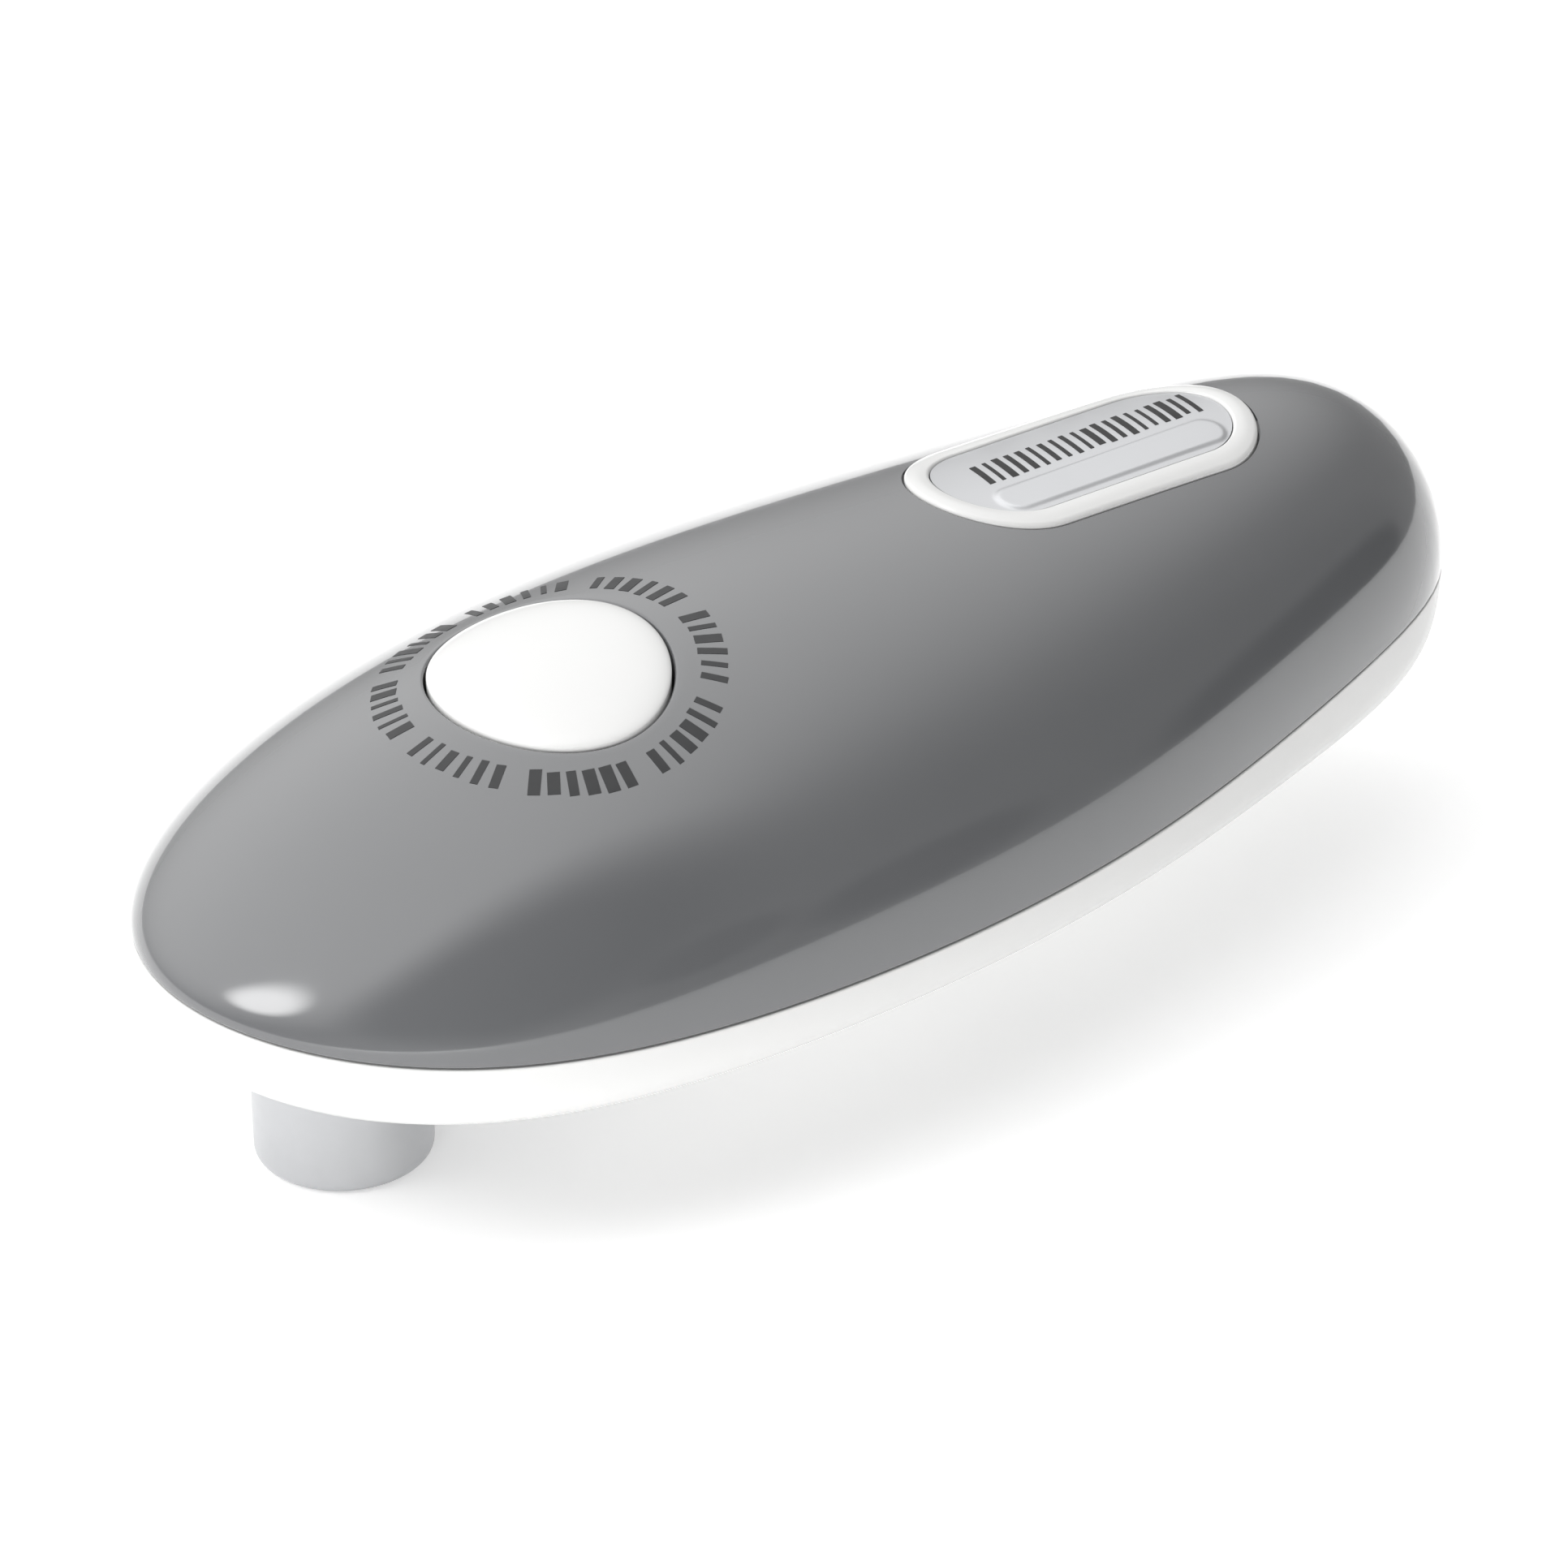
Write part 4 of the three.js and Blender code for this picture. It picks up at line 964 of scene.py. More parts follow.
    def kept(self, tree: bpy.types.NodeTree) -> Socket:
        """Whether a place is filled.

        Args:
            tree: the node tree that it goes in.

        Returns:
            1 where a place is filled, else 0.
        """
        index = add_node(tree, "GeometryNodeInputIndex").outputs[0]
        group = {0: index, 1: float(self.gap_every)}
        turn = add_node(tree, "ShaderNodeMath", group, operation="MODULO").outputs[0]
        filled = {0: turn, 1: self.gap_every - 1.5}
        return add_node(tree, "ShaderNodeMath", filled, operation="LESS_THAN").outputs[0]

    def slanted(self, tree: bpy.types.NodeTree, geometry: Socket) -> Socket:
        """The bars leaning along X by the slant's share of their height.

        Args:
            tree: the node tree that it goes in.
            geometry: the bars.

        Returns:
            The leaning bars.
        """
        place = add_node(tree, "GeometryNodeInputPosition").outputs[0]
        apart = add_node(tree, "ShaderNodeSeparateXYZ", {0: place})
        middle = (self.centre[1] + self.reach[1]) * MM
        height = {0: apart.outputs[1], 1: middle}
        up = add_node(tree, "ShaderNodeMath", height, operation="SUBTRACT").outputs[0]
        lean = add_node(tree, "ShaderNodeMath", {0: up, 1: self.slant}, operation="MULTIPLY").outputs[0]
        offset = add_node(tree, "ShaderNodeCombineXYZ", {0: lean}).outputs[0]
        return add_node(tree, "GeometryNodeSetPosition", {"Geometry": geometry, "Offset": offset}).outputs[0]

    def laid_on(self, tree: bpy.types.NodeTree, geometry: Socket, surface: Socket) -> Socket:
        """The bars dropped on the surface, keeping their thickness.

        Args:
            tree: the node tree that it goes in.
            geometry: the bars.
            surface: what they are dropped on.

        Returns:
            The bars in place.
        """
        target = add_node(tree, "GeometryNodeObjectInfo", {"Object": surface}).outputs["Geometry"]
        place = add_node(tree, "GeometryNodeInputPosition").outputs[0]
        apart = add_node(tree, "ShaderNodeSeparateXYZ", {0: place})
        high = {0: apart.outputs[0], 1: apart.outputs[1], 2: 0.1}
        above = add_node(tree, "ShaderNodeCombineXYZ", high).outputs[0]
        ray = add_node(tree, "GeometryNodeRaycast", {"Target Geometry": target, "Source Position": above,
                                                      "Ray Direction": (0.0, 0.0, -1.0), "Ray Length": 0.2})
        lift = add_node(tree, "ShaderNodeCombineXYZ", {2: apart.outputs[2]}).outputs[0]
        landed = {0: ray.outputs["Hit Position"], 1: lift}
        down = add_node(tree, "ShaderNodeVectorMath", landed, operation="ADD").outputs[0]
        return add_node(tree, "GeometryNodeSetPosition", {"Geometry": geometry, "Position": down}).outputs[0]


# ---- Housings --------------------------------------------------------------------------------------
SCREW_PLACES = ((-63.0, 22.5), (-63.0, -22.5), (5.0, 27.0), (5.0, -27.0), (80.5, 0.0))
HUB_X = -75.3
DRIVE_X = -54.2
MAGNET_X = -36.2


@dataclass(frozen=True)
class TopHousing:
    """The grey dome with the button's hole and its collar, and the badge's pocket."""

    hole_x: float = -43.2
    hole_half: tuple[float, float] = (13.85, 16.85)
    hole_edge: float = 0.45
    collar: float = 1.6
    collar_bottom: float = 46.0
    badge_x: float = 41.8
    badge_half: tuple[float, float] = (26.2, 12.7)
    badge_depth: float = 1.2
    edge: float = 0.2
    around: int = 360
    rows: int = 80

    def ellipse(self, grow: float) -> tuple[np.ndarray, np.ndarray]:
        """The hole's outline, grown all round.

        Args:
            grow: how far it is grown.

        Returns:
            The outline along X and along Y.
        """
        angle = np.linspace(0, 2 * math.pi, self.around, endpoint=False)
        half_x, half_y = self.hole_half
        return self.hole_x + (half_x + grow) * np.cos(angle), (half_y + grow) * np.sin(angle)

    def fan(self, grow: float, wall: float, rows: int) -> list[Ring]:
        """Rings over the dome from the hole's outline to the seam, closer together near the seam.

        Args:
            grow: how far the hole is grown.
            wall: how far in from the outer face.
            rows: how many steps it takes.

        Returns:
            The rings.
        """
        a, b = BODY.disc(*self.ellipse(grow), wall)
        a0 = self.hole_x / (BODY.length / 2)
        da, db = a - a0, b
        length = np.hypot(da, db)
        da, db = da / length, db / length
        reach = -a0 * da + np.sqrt((a0 * da) ** 2 + 1 - a0 * a0)
        rings = []
        for t in 1 - (1 - np.linspace(0, 1, rows)) ** 2:
            out = length + (reach - length) * t
            rings.append(BODY.dome(a0 + da * out, db * out, wall))
        return rings

    def outside(self) -> list[Ring]:
        """The outer face's rings, from the rounded edge of the hole to the rounded edge at the seam.

        Returns:
            The rings.
        """
        rows = self.fan(self.hole_edge, 0.0, self.rows)
        seam = rows.pop()
        inward = -seam[:, :2] / np.linalg.norm(seam[:, :2], axis=1, keepdims=True)
        for down_share in np.linspace(0, 1, 5):
            angle = down_share * math.pi / 2
            ring = seam.copy()
            ring[:, :2] += inward * self.edge * (1 - math.cos(angle))
            ring[:, 2] += self.edge * (1 - math.sin(angle))
            rows.append(ring)
        return rows

    def level(self, grow: float, z: np.ndarray | float) -> Ring:
        """A ring of the hole's outline at one height, or at a height for each point."""
        x, y = self.ellipse(grow)
        return np.stack([x, y, np.broadcast_to(z, x.shape)], axis=1)

    def build(self) -> bpy.types.Object:
        """Makes the dome and cuts the badge's pocket in it.

        Returns:
            The housing.
        """
        inside = self.fan(self.collar, BODY.wall, 26)
        rim = [self.level(inward, BODY.dome_z(*self.ellipse(inward)) - down)
               for inward, down in fillet(self.hole_edge)]
        rings = [self.level(self.collar, self.collar_bottom), self.level(0.0, self.collar_bottom)]
        rings += list(reversed(rim)) + self.outside()[1:] + list(reversed(inside))
        piece = mesh_object("shell_top", *loft(rings, closed=True))
        cut(piece, [self.pocket()])
        return piece

    def pocket(self) -> bpy.types.Object:
        """A cutter whose floor follows the dome at the pocket's depth.

        Returns:
            The cutter.
        """
        rings = []
        for lift in (6.0, -self.badge_depth):
            shares = (0.02, 0.2, 0.4, 0.6, 0.8, 1.0)
            for share in shares if lift > 0 else reversed(shares):
                points, _ = stadium(self.badge_x, *self.badge_half, 160)
                x = self.badge_x + (points[:, 0] - self.badge_x) * share
                y = points[:, 1] * share
                rings.append(np.stack([x, y, BODY.dome_z(x, y) + lift], axis=1))
        return mesh_object("cutter", *loft(rings))


@dataclass(frozen=True)
class LowerHousing:
    """The white boat-shaped half: flat underside with the door's opening, the wear plate's pocket and the
    screws' recesses."""

    floor: float = 18.0
    edge: float = 0.25
    around: int = 360
    levels: int = 44
    post: float = 4.5
    post_top: float = 23.5
    screw_recess: float = 3.2
    screw_seat: float = 22.0
    screw_clear: float = 1.7
    door_x: tuple[float, float] = (12.5, 71.5)
    door_half_y: float = 15.6
    door_corner: float = 5.0
    gap: float = 0.3
    lead_in: float = 0.35
    axis_holes: tuple[tuple[float, float], ...] = ((HUB_X, 5.3), (DRIVE_X, 4.4), (MAGNET_X, 4.1))
    wear_x: tuple[float, float] = (-83.4, -46.5)
    wear_half_y: float = 14.0
    wear_top: float = 16.7

    def side(self, wall: float, bottom: float, levels: int) -> list[Ring]:
        """Rings down one face of the side. The last but one is left out, as it almost lies in the flat."""
        shares = [math.sin(math.pi / 2 * k / levels) for k in (*range(levels - 1), levels)]
        return [BODY.hull_ring(q, wall, bottom, self.around) for q in shares]

    def build(self) -> bpy.types.Object:
        """Makes the hull with its posts, and cuts the openings.

        Returns:
            The housing.
        """
        outside = self.side(0.0, BODY.base, self.levels)
        top = outside.pop(0)
        inward = -top[:, :2] / np.linalg.norm(top[:, :2], axis=1, keepdims=True)
        rim = []
        for inset, down in fillet(self.edge):
            ring = top.copy()
            ring[:, :2] += inward * inset
            ring[:, 2] -= down
            rim.append(ring)
        below = [ring for ring in outside if (ring[:, 2] < top[:, 2] - self.edge).all()]
        rings = list(reversed(below)) + list(reversed(rim)) + self.side(BODY.wall, self.floor, 10)
        piece = mesh_object("shell_lower", *loft(rings))
        solid = mesh_object("hull", *loft(list(reversed(outside))))
        posts = merge("posts", [turned("post", [(0, BODY.base - 1), (self.post, BODY.base - 1),
                                                (self.post, self.post_top), (0, self.post_top)], x, y, 48)
                                for x, y in SCREW_PLACES])
        cut(posts, [solid], "INTERSECT")
        cut(piece, [posts], "UNION")
        cut(piece, self.openings())
        even_normals(piece)
        return piece

    def openings(self) -> list[bpy.types.Object]:
        """The cutters of everything that opens in the underside.

        Returns:
            The cutters.
        """
        def door(grow: float, z: float) -> Ring:
            """The door's opening at one height, grown all round."""
            return rounded_rectangle(*self.door_x, self.door_half_y, self.door_corner, grow + self.gap, z)

        def wear(grow: float, z: float) -> Ring:
            """The wear plate's outline at one height, grown all round."""
            middle = sum(self.wear_x) / 2
            half = (self.wear_x[1] - self.wear_x[0]) / 2 + self.gap + grow
            points, _ = stadium(middle, half, self.wear_half_y + self.gap + grow, 160)
            return np.column_stack([points, np.full(len(points), z)])

        base = BODY.base
        cutters = [flared_cutter(door, base, self.floor + 1, self.lead_in),
                   flared_cutter(wear, base, self.wear_top, self.lead_in)]
        cutters += [round_cutter(x, 0.0, radius, base, self.floor + 1) for x, radius in self.axis_holes]
        for x, y in SCREW_PLACES:
            cutters.append(round_cutter(x, y, self.screw_recess, base, self.screw_seat, 0.4))
        for x, y in SCREW_PLACES:
            cutters.append(round_cutter(x, y, self.screw_clear, base + 2, self.post_top + 1))
        return cutters


# ---- Button and badge ------------------------------------------------------------------------------
@dataclass(frozen=True)
class StartButton:
    """The white oval button: a thin cap that follows the dome, with a lip and a boss for the switch."""

    x: float = -43.2
    half: tuple[float, float] = (13.5, 16.5)
    proud: float = 0.9
    bottom: float = 44.0
    lip: float = 1.0
    lip_top: float = 45.9
    wall: float = 1.8
    roof: float = 49.2
    boss: float = 3.0
    travel: float = 1.8
    spring_radius: float = 7.4
    spring_wire: float = 0.35
    spring_turns: float = 5.6
    spring_z: tuple[float, float] = (41.62, 48.58)
    boss_bottom: float = 46.95
    around: int = 192

    def ring(self, share: float, grow: float, z: float | None) -> Ring:
        """A ring of the outline, scaled and grown, level or following the dome.

        Args:
            share: its size against the outline.
            grow: how far it is grown.
            z: its height; without one it follows the dome.

        Returns:
            The ring.
        """
        angle = np.linspace(0, 2 * math.pi, self.around, endpoint=False)
        x = self.x + (self.half[0] * share + grow) * np.cos(angle)
        y = (self.half[1] * share + grow) * np.sin(angle)
        lift = self.proud * math.sqrt(max(0.0, 1 - share ** 6))
        height = BODY.dome_z(x, y) + lift if z is None else np.full(self.around, z)
        return np.stack([x, y, height], axis=1)

    def build(self) -> bpy.types.Object:
        """Makes the cap, from the boss's end round to the crown.

        Returns:
            The button.
        """
        shares = [math.sin(math.pi / 2 * k / 40) for k in range(41)]
        hollow = -self.wall
        boss = ((0.05, self.boss_bottom), (self.boss - 0.3, self.boss_bottom),
                (self.boss, self.boss_bottom + 0.3), (self.boss, self.roof))
        rings = [circle(self.x, 0.0, z, r, self.around) for r, z in boss]
        rings += [self.ring(1.0, hollow, self.roof), self.ring(1.0, hollow, self.bottom)]
        rings += [self.ring(1.0, self.lip, self.bottom), self.ring(1.0, self.lip, self.lip_top),
                  self.ring(1.0, 0.0, self.lip_top)]
        rings += [self.ring(share, 0.0, None) for share in reversed(shares[1:])]
        return mesh_object("button_cap", *loft(rings))

    def spring(self) -> bpy.types.Object:
        """The return spring round the switch, with its end turns closed.

        Returns:
            The spring.
        """
        low, high = self.spring_z
        t = np.linspace(0, 1, 320)
        angle = 2 * math.pi * self.spring_turns * t
        rise = np.clip((t * self.spring_turns - 0.8) / (self.spring_turns - 1.6), 0, 1)
        path = np.stack([self.x + self.spring_radius * np.cos(angle), self.spring_radius * np.sin(angle),
                         low + self.spring_wire * 2 * t + (high - low - self.spring_wire * 2) * rise], axis=1)
        return tube(path, self.spring_wire, sides=10)

    def squash_spring(self, spring: bpy.types.Object) -> None:
        """Gives the spring a mesh of its own.

        Args:
            spring: the placed spring.
        """
        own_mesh(spring)


@dataclass(frozen=True)
class Badge:
    """The badge let into the dome: a white rim, rounded both ways, round a foil plate with a raised bar."""

    x: float = 41.8
    half: tuple[float, float] = (25.9, 12.4)
    rim: float = 3.2
    sunk: float = 1.1
    proud: float = 0.5
    crown: float = 0.1
    edge: float = 0.6
    plate_gap: float = 0.1
    plate_lift: float = 0.15
    bar_half: tuple[float, float] = (18.6, 2.5)
    bar_y: float = -5.6
    bar_rise: float = 0.3

    def ring(self, inset: float, lift: float) -> Ring:
        """A ring inside the outline that follows the dome at the lift given.

        Args:
            inset: how far inside the outline.
            lift: how far above the dome.

        Returns:
            The ring.
        """
        points, _ = stadium(self.x, self.half[0] - inset, self.half[1] - inset, 320)
        height = BODY.dome_z(points[:, 0], points[:, 1]) + lift
        return np.column_stack([points, height])

    def bezel(self) -> bpy.types.Object:
        """The rim.

        Returns:
            The rim, rounded at both edges and a little crowned between them.
        """
        outer = [(inset, self.proud - down) for inset, down in fillet(self.edge, 6)]
        inner = [(self.rim - inset, self.proud - down) for inset, down in fillet(self.edge, 6)]
        flat = self.rim - 2 * self.edge
        middle = [(self.edge + flat * t, self.proud + self.crown * math.sin(math.pi * t))
                  for t in np.linspace(0, 1, 9)[1:-1]]
        profile = [(0.0, -self.sunk), *reversed(outer), *middle, *inner, (self.rim, -self.sunk)]
        rings = [self.ring(inset, lift) for inset, lift in profile]
        return mesh_object("badge_rim", *loft(rings, closed=True), sharp_deg=60)

    def relief(self, x: np.ndarray, y: np.ndarray) -> np.ndarray:
        """How far the plate rises at a place: a rounded bar near one side, with soft flanks.

        Args:
            x: places along X.
            y: places along Y.

        Returns:
            The rise, in millimetres.
        """
        u = np.abs(x - self.x) - (self.bar_half[0] - self.bar_half[1])
        distance = np.hypot(np.clip(u, 0, None), y - self.bar_y)
        share = np.clip((self.bar_half[1] + 0.35 - distance) / 0.7, 0, 1)
        return self.bar_rise * share * share * (3 - 2 * share)

    def plate(self) -> bpy.types.Object:
        """The foil plate, fine enough to carry the raised bar.

        Returns:
            The plate.
        """
        outline = self.ring(self.rim + self.plate_gap, 0.0)
        rings = []
        for share in np.linspace(0.004, 1.0, 90):
            x = self.x + (outline[:, 0] - self.x) * share
            y = outline[:, 1] * share
            height = BODY.dome_z(x, y) + self.plate_lift + self.relief(x, y)
            rings.append(np.stack([x, y, height], axis=1))
        rings.append(self.ring(self.rim + self.plate_gap, -self.sunk))
        return mesh_object("badge_foil", *loft(rings), sharp_deg=50)


# ---- The nip ---------------------------------------------------------------------------------------
@dataclass(frozen=True)
class GuideFoot:
    """The die-cast foot that runs along the can's wall, with its screw set in its end."""

    radius: float = 10.9
    height: float = 13.4
    edge: float = 1.4
    screw_y: float = 4.6
    recess: float = 3.7
    recess_top: float = 4.0
    bore: float = 2.6
    bore_from: float = 9.3

    def build(self) -> bpy.types.Object:
        """Turns the foot and cuts the screw's recess and the journal's bore.

        Returns:
            The foot.
        """
        profile = rounded_profile([(0, 0, 0), (self.radius, 0, self.edge), (self.radius, self.height, 0.4),
                                   (0, self.height, 0)], steps=8)
        foot = turned("foot_casting", profile, HUB_X, 0.0, 160)
        recess = round_cutter(HUB_X, self.screw_y, self.recess, 0.0, self.recess_top, 0.35)
        above = self.height + 1
        outline = [(0, self.bore_from), (self.bore, self.bore_from), (self.bore, above), (0, above)]
        bore = turned("cutter", outline, HUB_X, self.screw_y, 48)
        hole = turned("cutter", [(0, 3.0), (1.3, 3.0), (1.3, 10.0), (0, 10.0)], HUB_X, self.screw_y, 32)
        cut(foot, [recess, bore, hole])
        even_normals(foot)
        return foot


@dataclass(frozen=True)
class HeadedScrew:
    """A screw whose head faces down, with a cross recess."""

    head: float
    face: float
    seat: float
    shank: float
    end: float
    cross: float
    depth: float

    def build(self, name: str, x: float, y: float) -> bpy.types.Object:
        """Turns the screw and cuts its recess.

        Args:
            name: the object's name.
            x: the screw's place.
            y: the screw's place.

        Returns:
            The screw.
        """
        profile = rounded_profile([
            (0, self.face, 0), (self.head, self.face, 0.5), (self.head, self.seat, 0.15),
            (self.shank, self.seat, 0), (self.shank, self.end, 0.4), (0, self.end, 0)])
        screw = turned(name, profile, x, y, 64)
        cut(screw, [cross_cutter(x, y, self.face, self.depth, self.cross)])
        even_normals(screw)
        return screw


@dataclass(frozen=True)
class Nip:
    """The cutting disc on its eccentric carrier, the toothed drive wheel with its nut, and the wear plate."""

    cutter_y: float = 4.6
    cutter_radius: float = 10.2
    cutter_z: tuple[float, float] = (13.7, 14.9)
    bevel: float = 2.0
    bore: float = 2.65
    web: float = 7.2
    web_z: tuple[float, float] = (15.2, 16.4)
    journal: float = 2.5
    wheel_tip: float = 5.6
    wheel_root: float = 4.8
    teeth: int = 20
    wheel_z: tuple[float, float] = (11.2, 15.0)
    nut_across: float = 7.0
    nut_z: tuple[float, float] = (9.6, 11.15)
    shaft: float = 2.5
    shaft_z: tuple[float, float] = (9.4, 38.6)
    wear_z: tuple[float, float] = (15.6, 16.6)

    def cutter(self) -> bpy.types.Object:
        """The disc, bevelled on both faces to its edge.

        Returns:
            The disc.
        """
        low, high = self.cutter_z
        middle = (low + high) / 2
        flat = self.cutter_radius - self.bevel
        profile = [(self.bore, low), (self.bore + 1.6, low), (self.bore + 1.75, low + 0.1), (flat, low + 0.1),
                   (self.cutter_radius, middle - 0.04), (self.cutter_radius, middle + 0.04), (flat, high),
                   (self.bore, high)]
        disc = turned("cutting_disc", profile, HUB_X, self.cutter_y, 192)
        even_normals(disc)
        return disc

    def carrier(self) -> bpy.types.Object:
        """The vertical shaft, its web and the eccentric journal under it.

        Returns:
            The carrier.
        """
        bar = [(0, 15.6), (3.5, 15.6), (3.5, 38.3), (3.2, 38.6), (0, 38.6)]
        shaft = turned("carrier", bar, HUB_X, 0.0, 64)
        low, high = self.web_z
        outline = [(0, low, 0), (self.web, low, 0.25), (self.web, high, 0.1), (0, high, 0)]
        web = turned("web", rounded_profile(outline), HUB_X, 0.0, 128)
        pin = [(0, 9.5), (self.journal - 0.2, 9.5), (self.journal, 9.7), (self.journal, 15.8), (0, 15.8)]
        journal = turned("journal", pin, HUB_X, self.cutter_y, 64)
        cut(shaft, [web, journal], "UNION")
        even_normals(shaft)
        return shaft

    def wheel(self) -> bpy.types.Object:
        """The drive wheel: pointed teeth, chamfered at both faces.

        Returns:
            The wheel.
        """
        count = self.teeth * 10
        angle = np.linspace(0, 2 * math.pi, count, endpoint=False)
        wave = np.abs(((angle * self.teeth / (2 * math.pi)) % 1) * 2 - 1)
        tooth = self.wheel_root + (self.wheel_tip - self.wheel_root) * np.clip(wave * 1.08, 0.04, 1.0)

        def outer(limit: float, z: float) -> Ring:
            """The teeth at one height, cut off at a radius."""
            radius = np.minimum(tooth, limit)
            x, y = DRIVE_X + radius * np.cos(angle), radius * np.sin(angle)
            return np.stack([x, y, np.full(count, z)], axis=1)

        low, high = self.wheel_z
        bore = self.bore
        rings = [circle(DRIVE_X, 0.0, low, bore, count), outer(self.wheel_root - 0.1, low),
                 outer(self.wheel_tip, low + 0.5), outer(self.wheel_tip, high - 0.5),
                 outer(self.wheel_root - 0.1, high), circle(DRIVE_X, 0.0, high, bore, count)]
        return mesh_object("drive_wheel_teeth", *loft(rings, closed=True), sharp_deg=20)

    def nut(self) -> bpy.types.Object:
        """The hexagon nut, chamfered to a circle at its faces.

        Returns:
            The nut.
        """
        count = 144
        angle = np.linspace(0, 2 * math.pi, count, endpoint=False)
        side = (angle + math.pi / 6) % (math.pi / 3) - math.pi / 6
        hexagon = self.nut_across / 2 / np.cos(side)
        low, high = self.nut_z

        def outer(limit: float, z: float) -> Ring:
            """The hexagon at one height, cut off at a radius."""
            radius = np.minimum(hexagon, limit)
            x, y = DRIVE_X + radius * np.cos(angle), radius * np.sin(angle)
            return np.stack([x, y, np.full(count, z)], axis=1)

        flat = self.nut_across / 2
        steps = [(flat - 0.1, 0.0), (flat + 0.15, 0.14), (flat + 0.35, 0.26), (flat + 0.6, 0.4)]
        rings = [circle(DRIVE_X, 0.0, low + 0.3, self.shaft + 0.01, count),
                 circle(DRIVE_X, 0.0, low, self.shaft + 0.3, count)]
        rings += [outer(limit, low + rise) for limit, rise in steps]
        rings += [outer(flat + 0.6, high), circle(DRIVE_X, 0.0, high, self.shaft + 0.01, count)]
        return mesh_object("drive_nut", *loft(rings, closed=True), sharp_deg=25)

    def drive_shaft(self) -> bpy.types.Object:
        """The drive wheel's shaft, with a chamfered end.

        Returns:
            The shaft.
        """
        low, high = self.shaft_z
        profile = [(0, low), (self.shaft - 0.4, low), (self.shaft, low + 0.35), (self.shaft, high), (0, high)]
        shaft = turned("drive_spindle", profile, DRIVE_X, 0.0, 64)
        even_normals(shaft)
        return shaft

    def wear_plate(self, housing: LowerHousing) -> bpy.types.Object:
        """The steel plate under the nose, with the holes of both axes and its screws.

        Args:
            housing: the housing that it lies in.

        Returns:
            The plate.
        """
        middle = sum(housing.wear_x) / 2
        half = (housing.wear_x[1] - housing.wear_x[0]) / 2
        low, high = self.wear_z

        def ring(inset: float, z: float) -> Ring:
            """The plate's outline at one height, drawn in all round."""
            points, _ = stadium(middle, half - inset, housing.wear_half_y - inset, 240)
            return np.column_stack([points, np.full(len(points), z)])

        rings = [ring(inset, low + down) for inset, down in fillet(0.3)] + [ring(0.0, high)]
        plate = mesh_object("wear_strip", *loft(rings))
        cutters = [round_cutter(HUB_X, 0.0, self.web + 0.35, low, high + 1, 0.2),
                   round_cutter(DRIVE_X, 0.0, 3.4, low, high + 1, 0.2)]
        cutters += [round_cutter(-52.0, side * 8.2, 1.2, low, high + 1, 0.2) for side in (1, -1)]
        cut(plate, cutters)
        even_normals(plate)
        return plate


@dataclass(frozen=True)
class LidMagnet:
    """The disc magnet that lifts the lid, in its white cup."""

    radius: float = 6.0
    face: float = 12.6
    thick: float = 3.0
    cup: float = 8.0

    def magnet(self) -> bpy.types.Object:
        """The disc.

        Returns:
            The magnet.
        """
        top = self.face + self.thick
        profile = rounded_profile([(0, self.face, 0), (self.radius, self.face, 0.35),
                                   (self.radius, top, 0.1), (0, top, 0)])
        disc = turned("magnet_disc", profile, MAGNET_X, 0.0, 96)
        even_normals(disc)
        return disc

    def holder(self) -> bpy.types.Object:
        """The cup, with the stem that holds it in the housing.

        Returns:
            The holder.
        """
        seat, mouth = self.face + self.thick + 0.05, self.face + 0.3
        profile = rounded_profile([
            (0, seat, 0), (self.radius + 0.1, seat, 0), (self.radius + 0.1, mouth, 0.25),
            (self.cup, mouth, 0.6), (self.cup, 15.95, 0.2), (3.9, 15.95, 0), (3.9, 18.2, 0),
            (0, 18.2, 0)], steps=6)
        cup = turned("magnet_cup", profile, MAGNET_X, 0.0, 128)
        even_normals(cup)
        return cup


# ---- Battery bay -----------------------------------------------------------------------------------
@dataclass(frozen=True)
class BatteryDoor:
    """The flat door with its tongues, its latch and the finger's recess."""

    x: tuple[float, float] = (12.5, 71.5)
    half_y: float = 15.6
    corner: float = 5.0
    z: tuple[float, float] = (16.0, 17.9)
    edge: float = 0.45
    tongue_y: float = 8.5
    recess_x: float = 62.5
    recess_z: float = 5.1
    recess_radius: float = 12.0

    def build(self) -> bpy.types.Object:
        """Makes the door.

        Returns:
            The door.
        """
        low, high = self.z

        def ring(inset: float, z: float) -> Ring:
            """The door's outline at one height, drawn in all round."""
            return rounded_rectangle(*self.x, self.half_y, self.corner, -inset, z)

        rings = [ring(inset, low + down) for inset, down in fillet(self.edge, 6)] + [ring(0.0, high)]
        door = mesh_object("bay_door", *loft(rings))
        front, rear = self.x
        added = []
        for side in (1, -1):
            y = (side * self.tongue_y - 2.5, side * self.tongue_y + 2.5)
            added.append(soft_block((front - 1.6, front + 1), y, (high + 0.25, high + 1.3), 0.2))
            added.append(soft_block((front + 0.1, front + 1), y, (high - 0.5, high + 1.2), 0.1))
        added.append(soft_block((rear - 2.2, rear - 0.8), (-2.9, 2.9), (high - 0.5, high + 2.1), 0.25))
        cut(door, added, "UNION")
        cut(door, [self.finger()])
        even_normals(door)
        return door

    def finger(self) -> bpy.types.Object:
        """The ball that cuts the finger's recess.

        Returns:
            The cutter.
        """
        angles = np.linspace(0, math.pi, 64)
        radius = self.recess_radius
        profile = [(radius * math.sin(a), self.recess_z - radius * math.cos(a)) for a in angles]
        profile[0], profile[-1] = (0, profile[0][1]), (0, profile[-1][1])
        return turned("cutter", profile, self.recess_x, 0.0, 128)


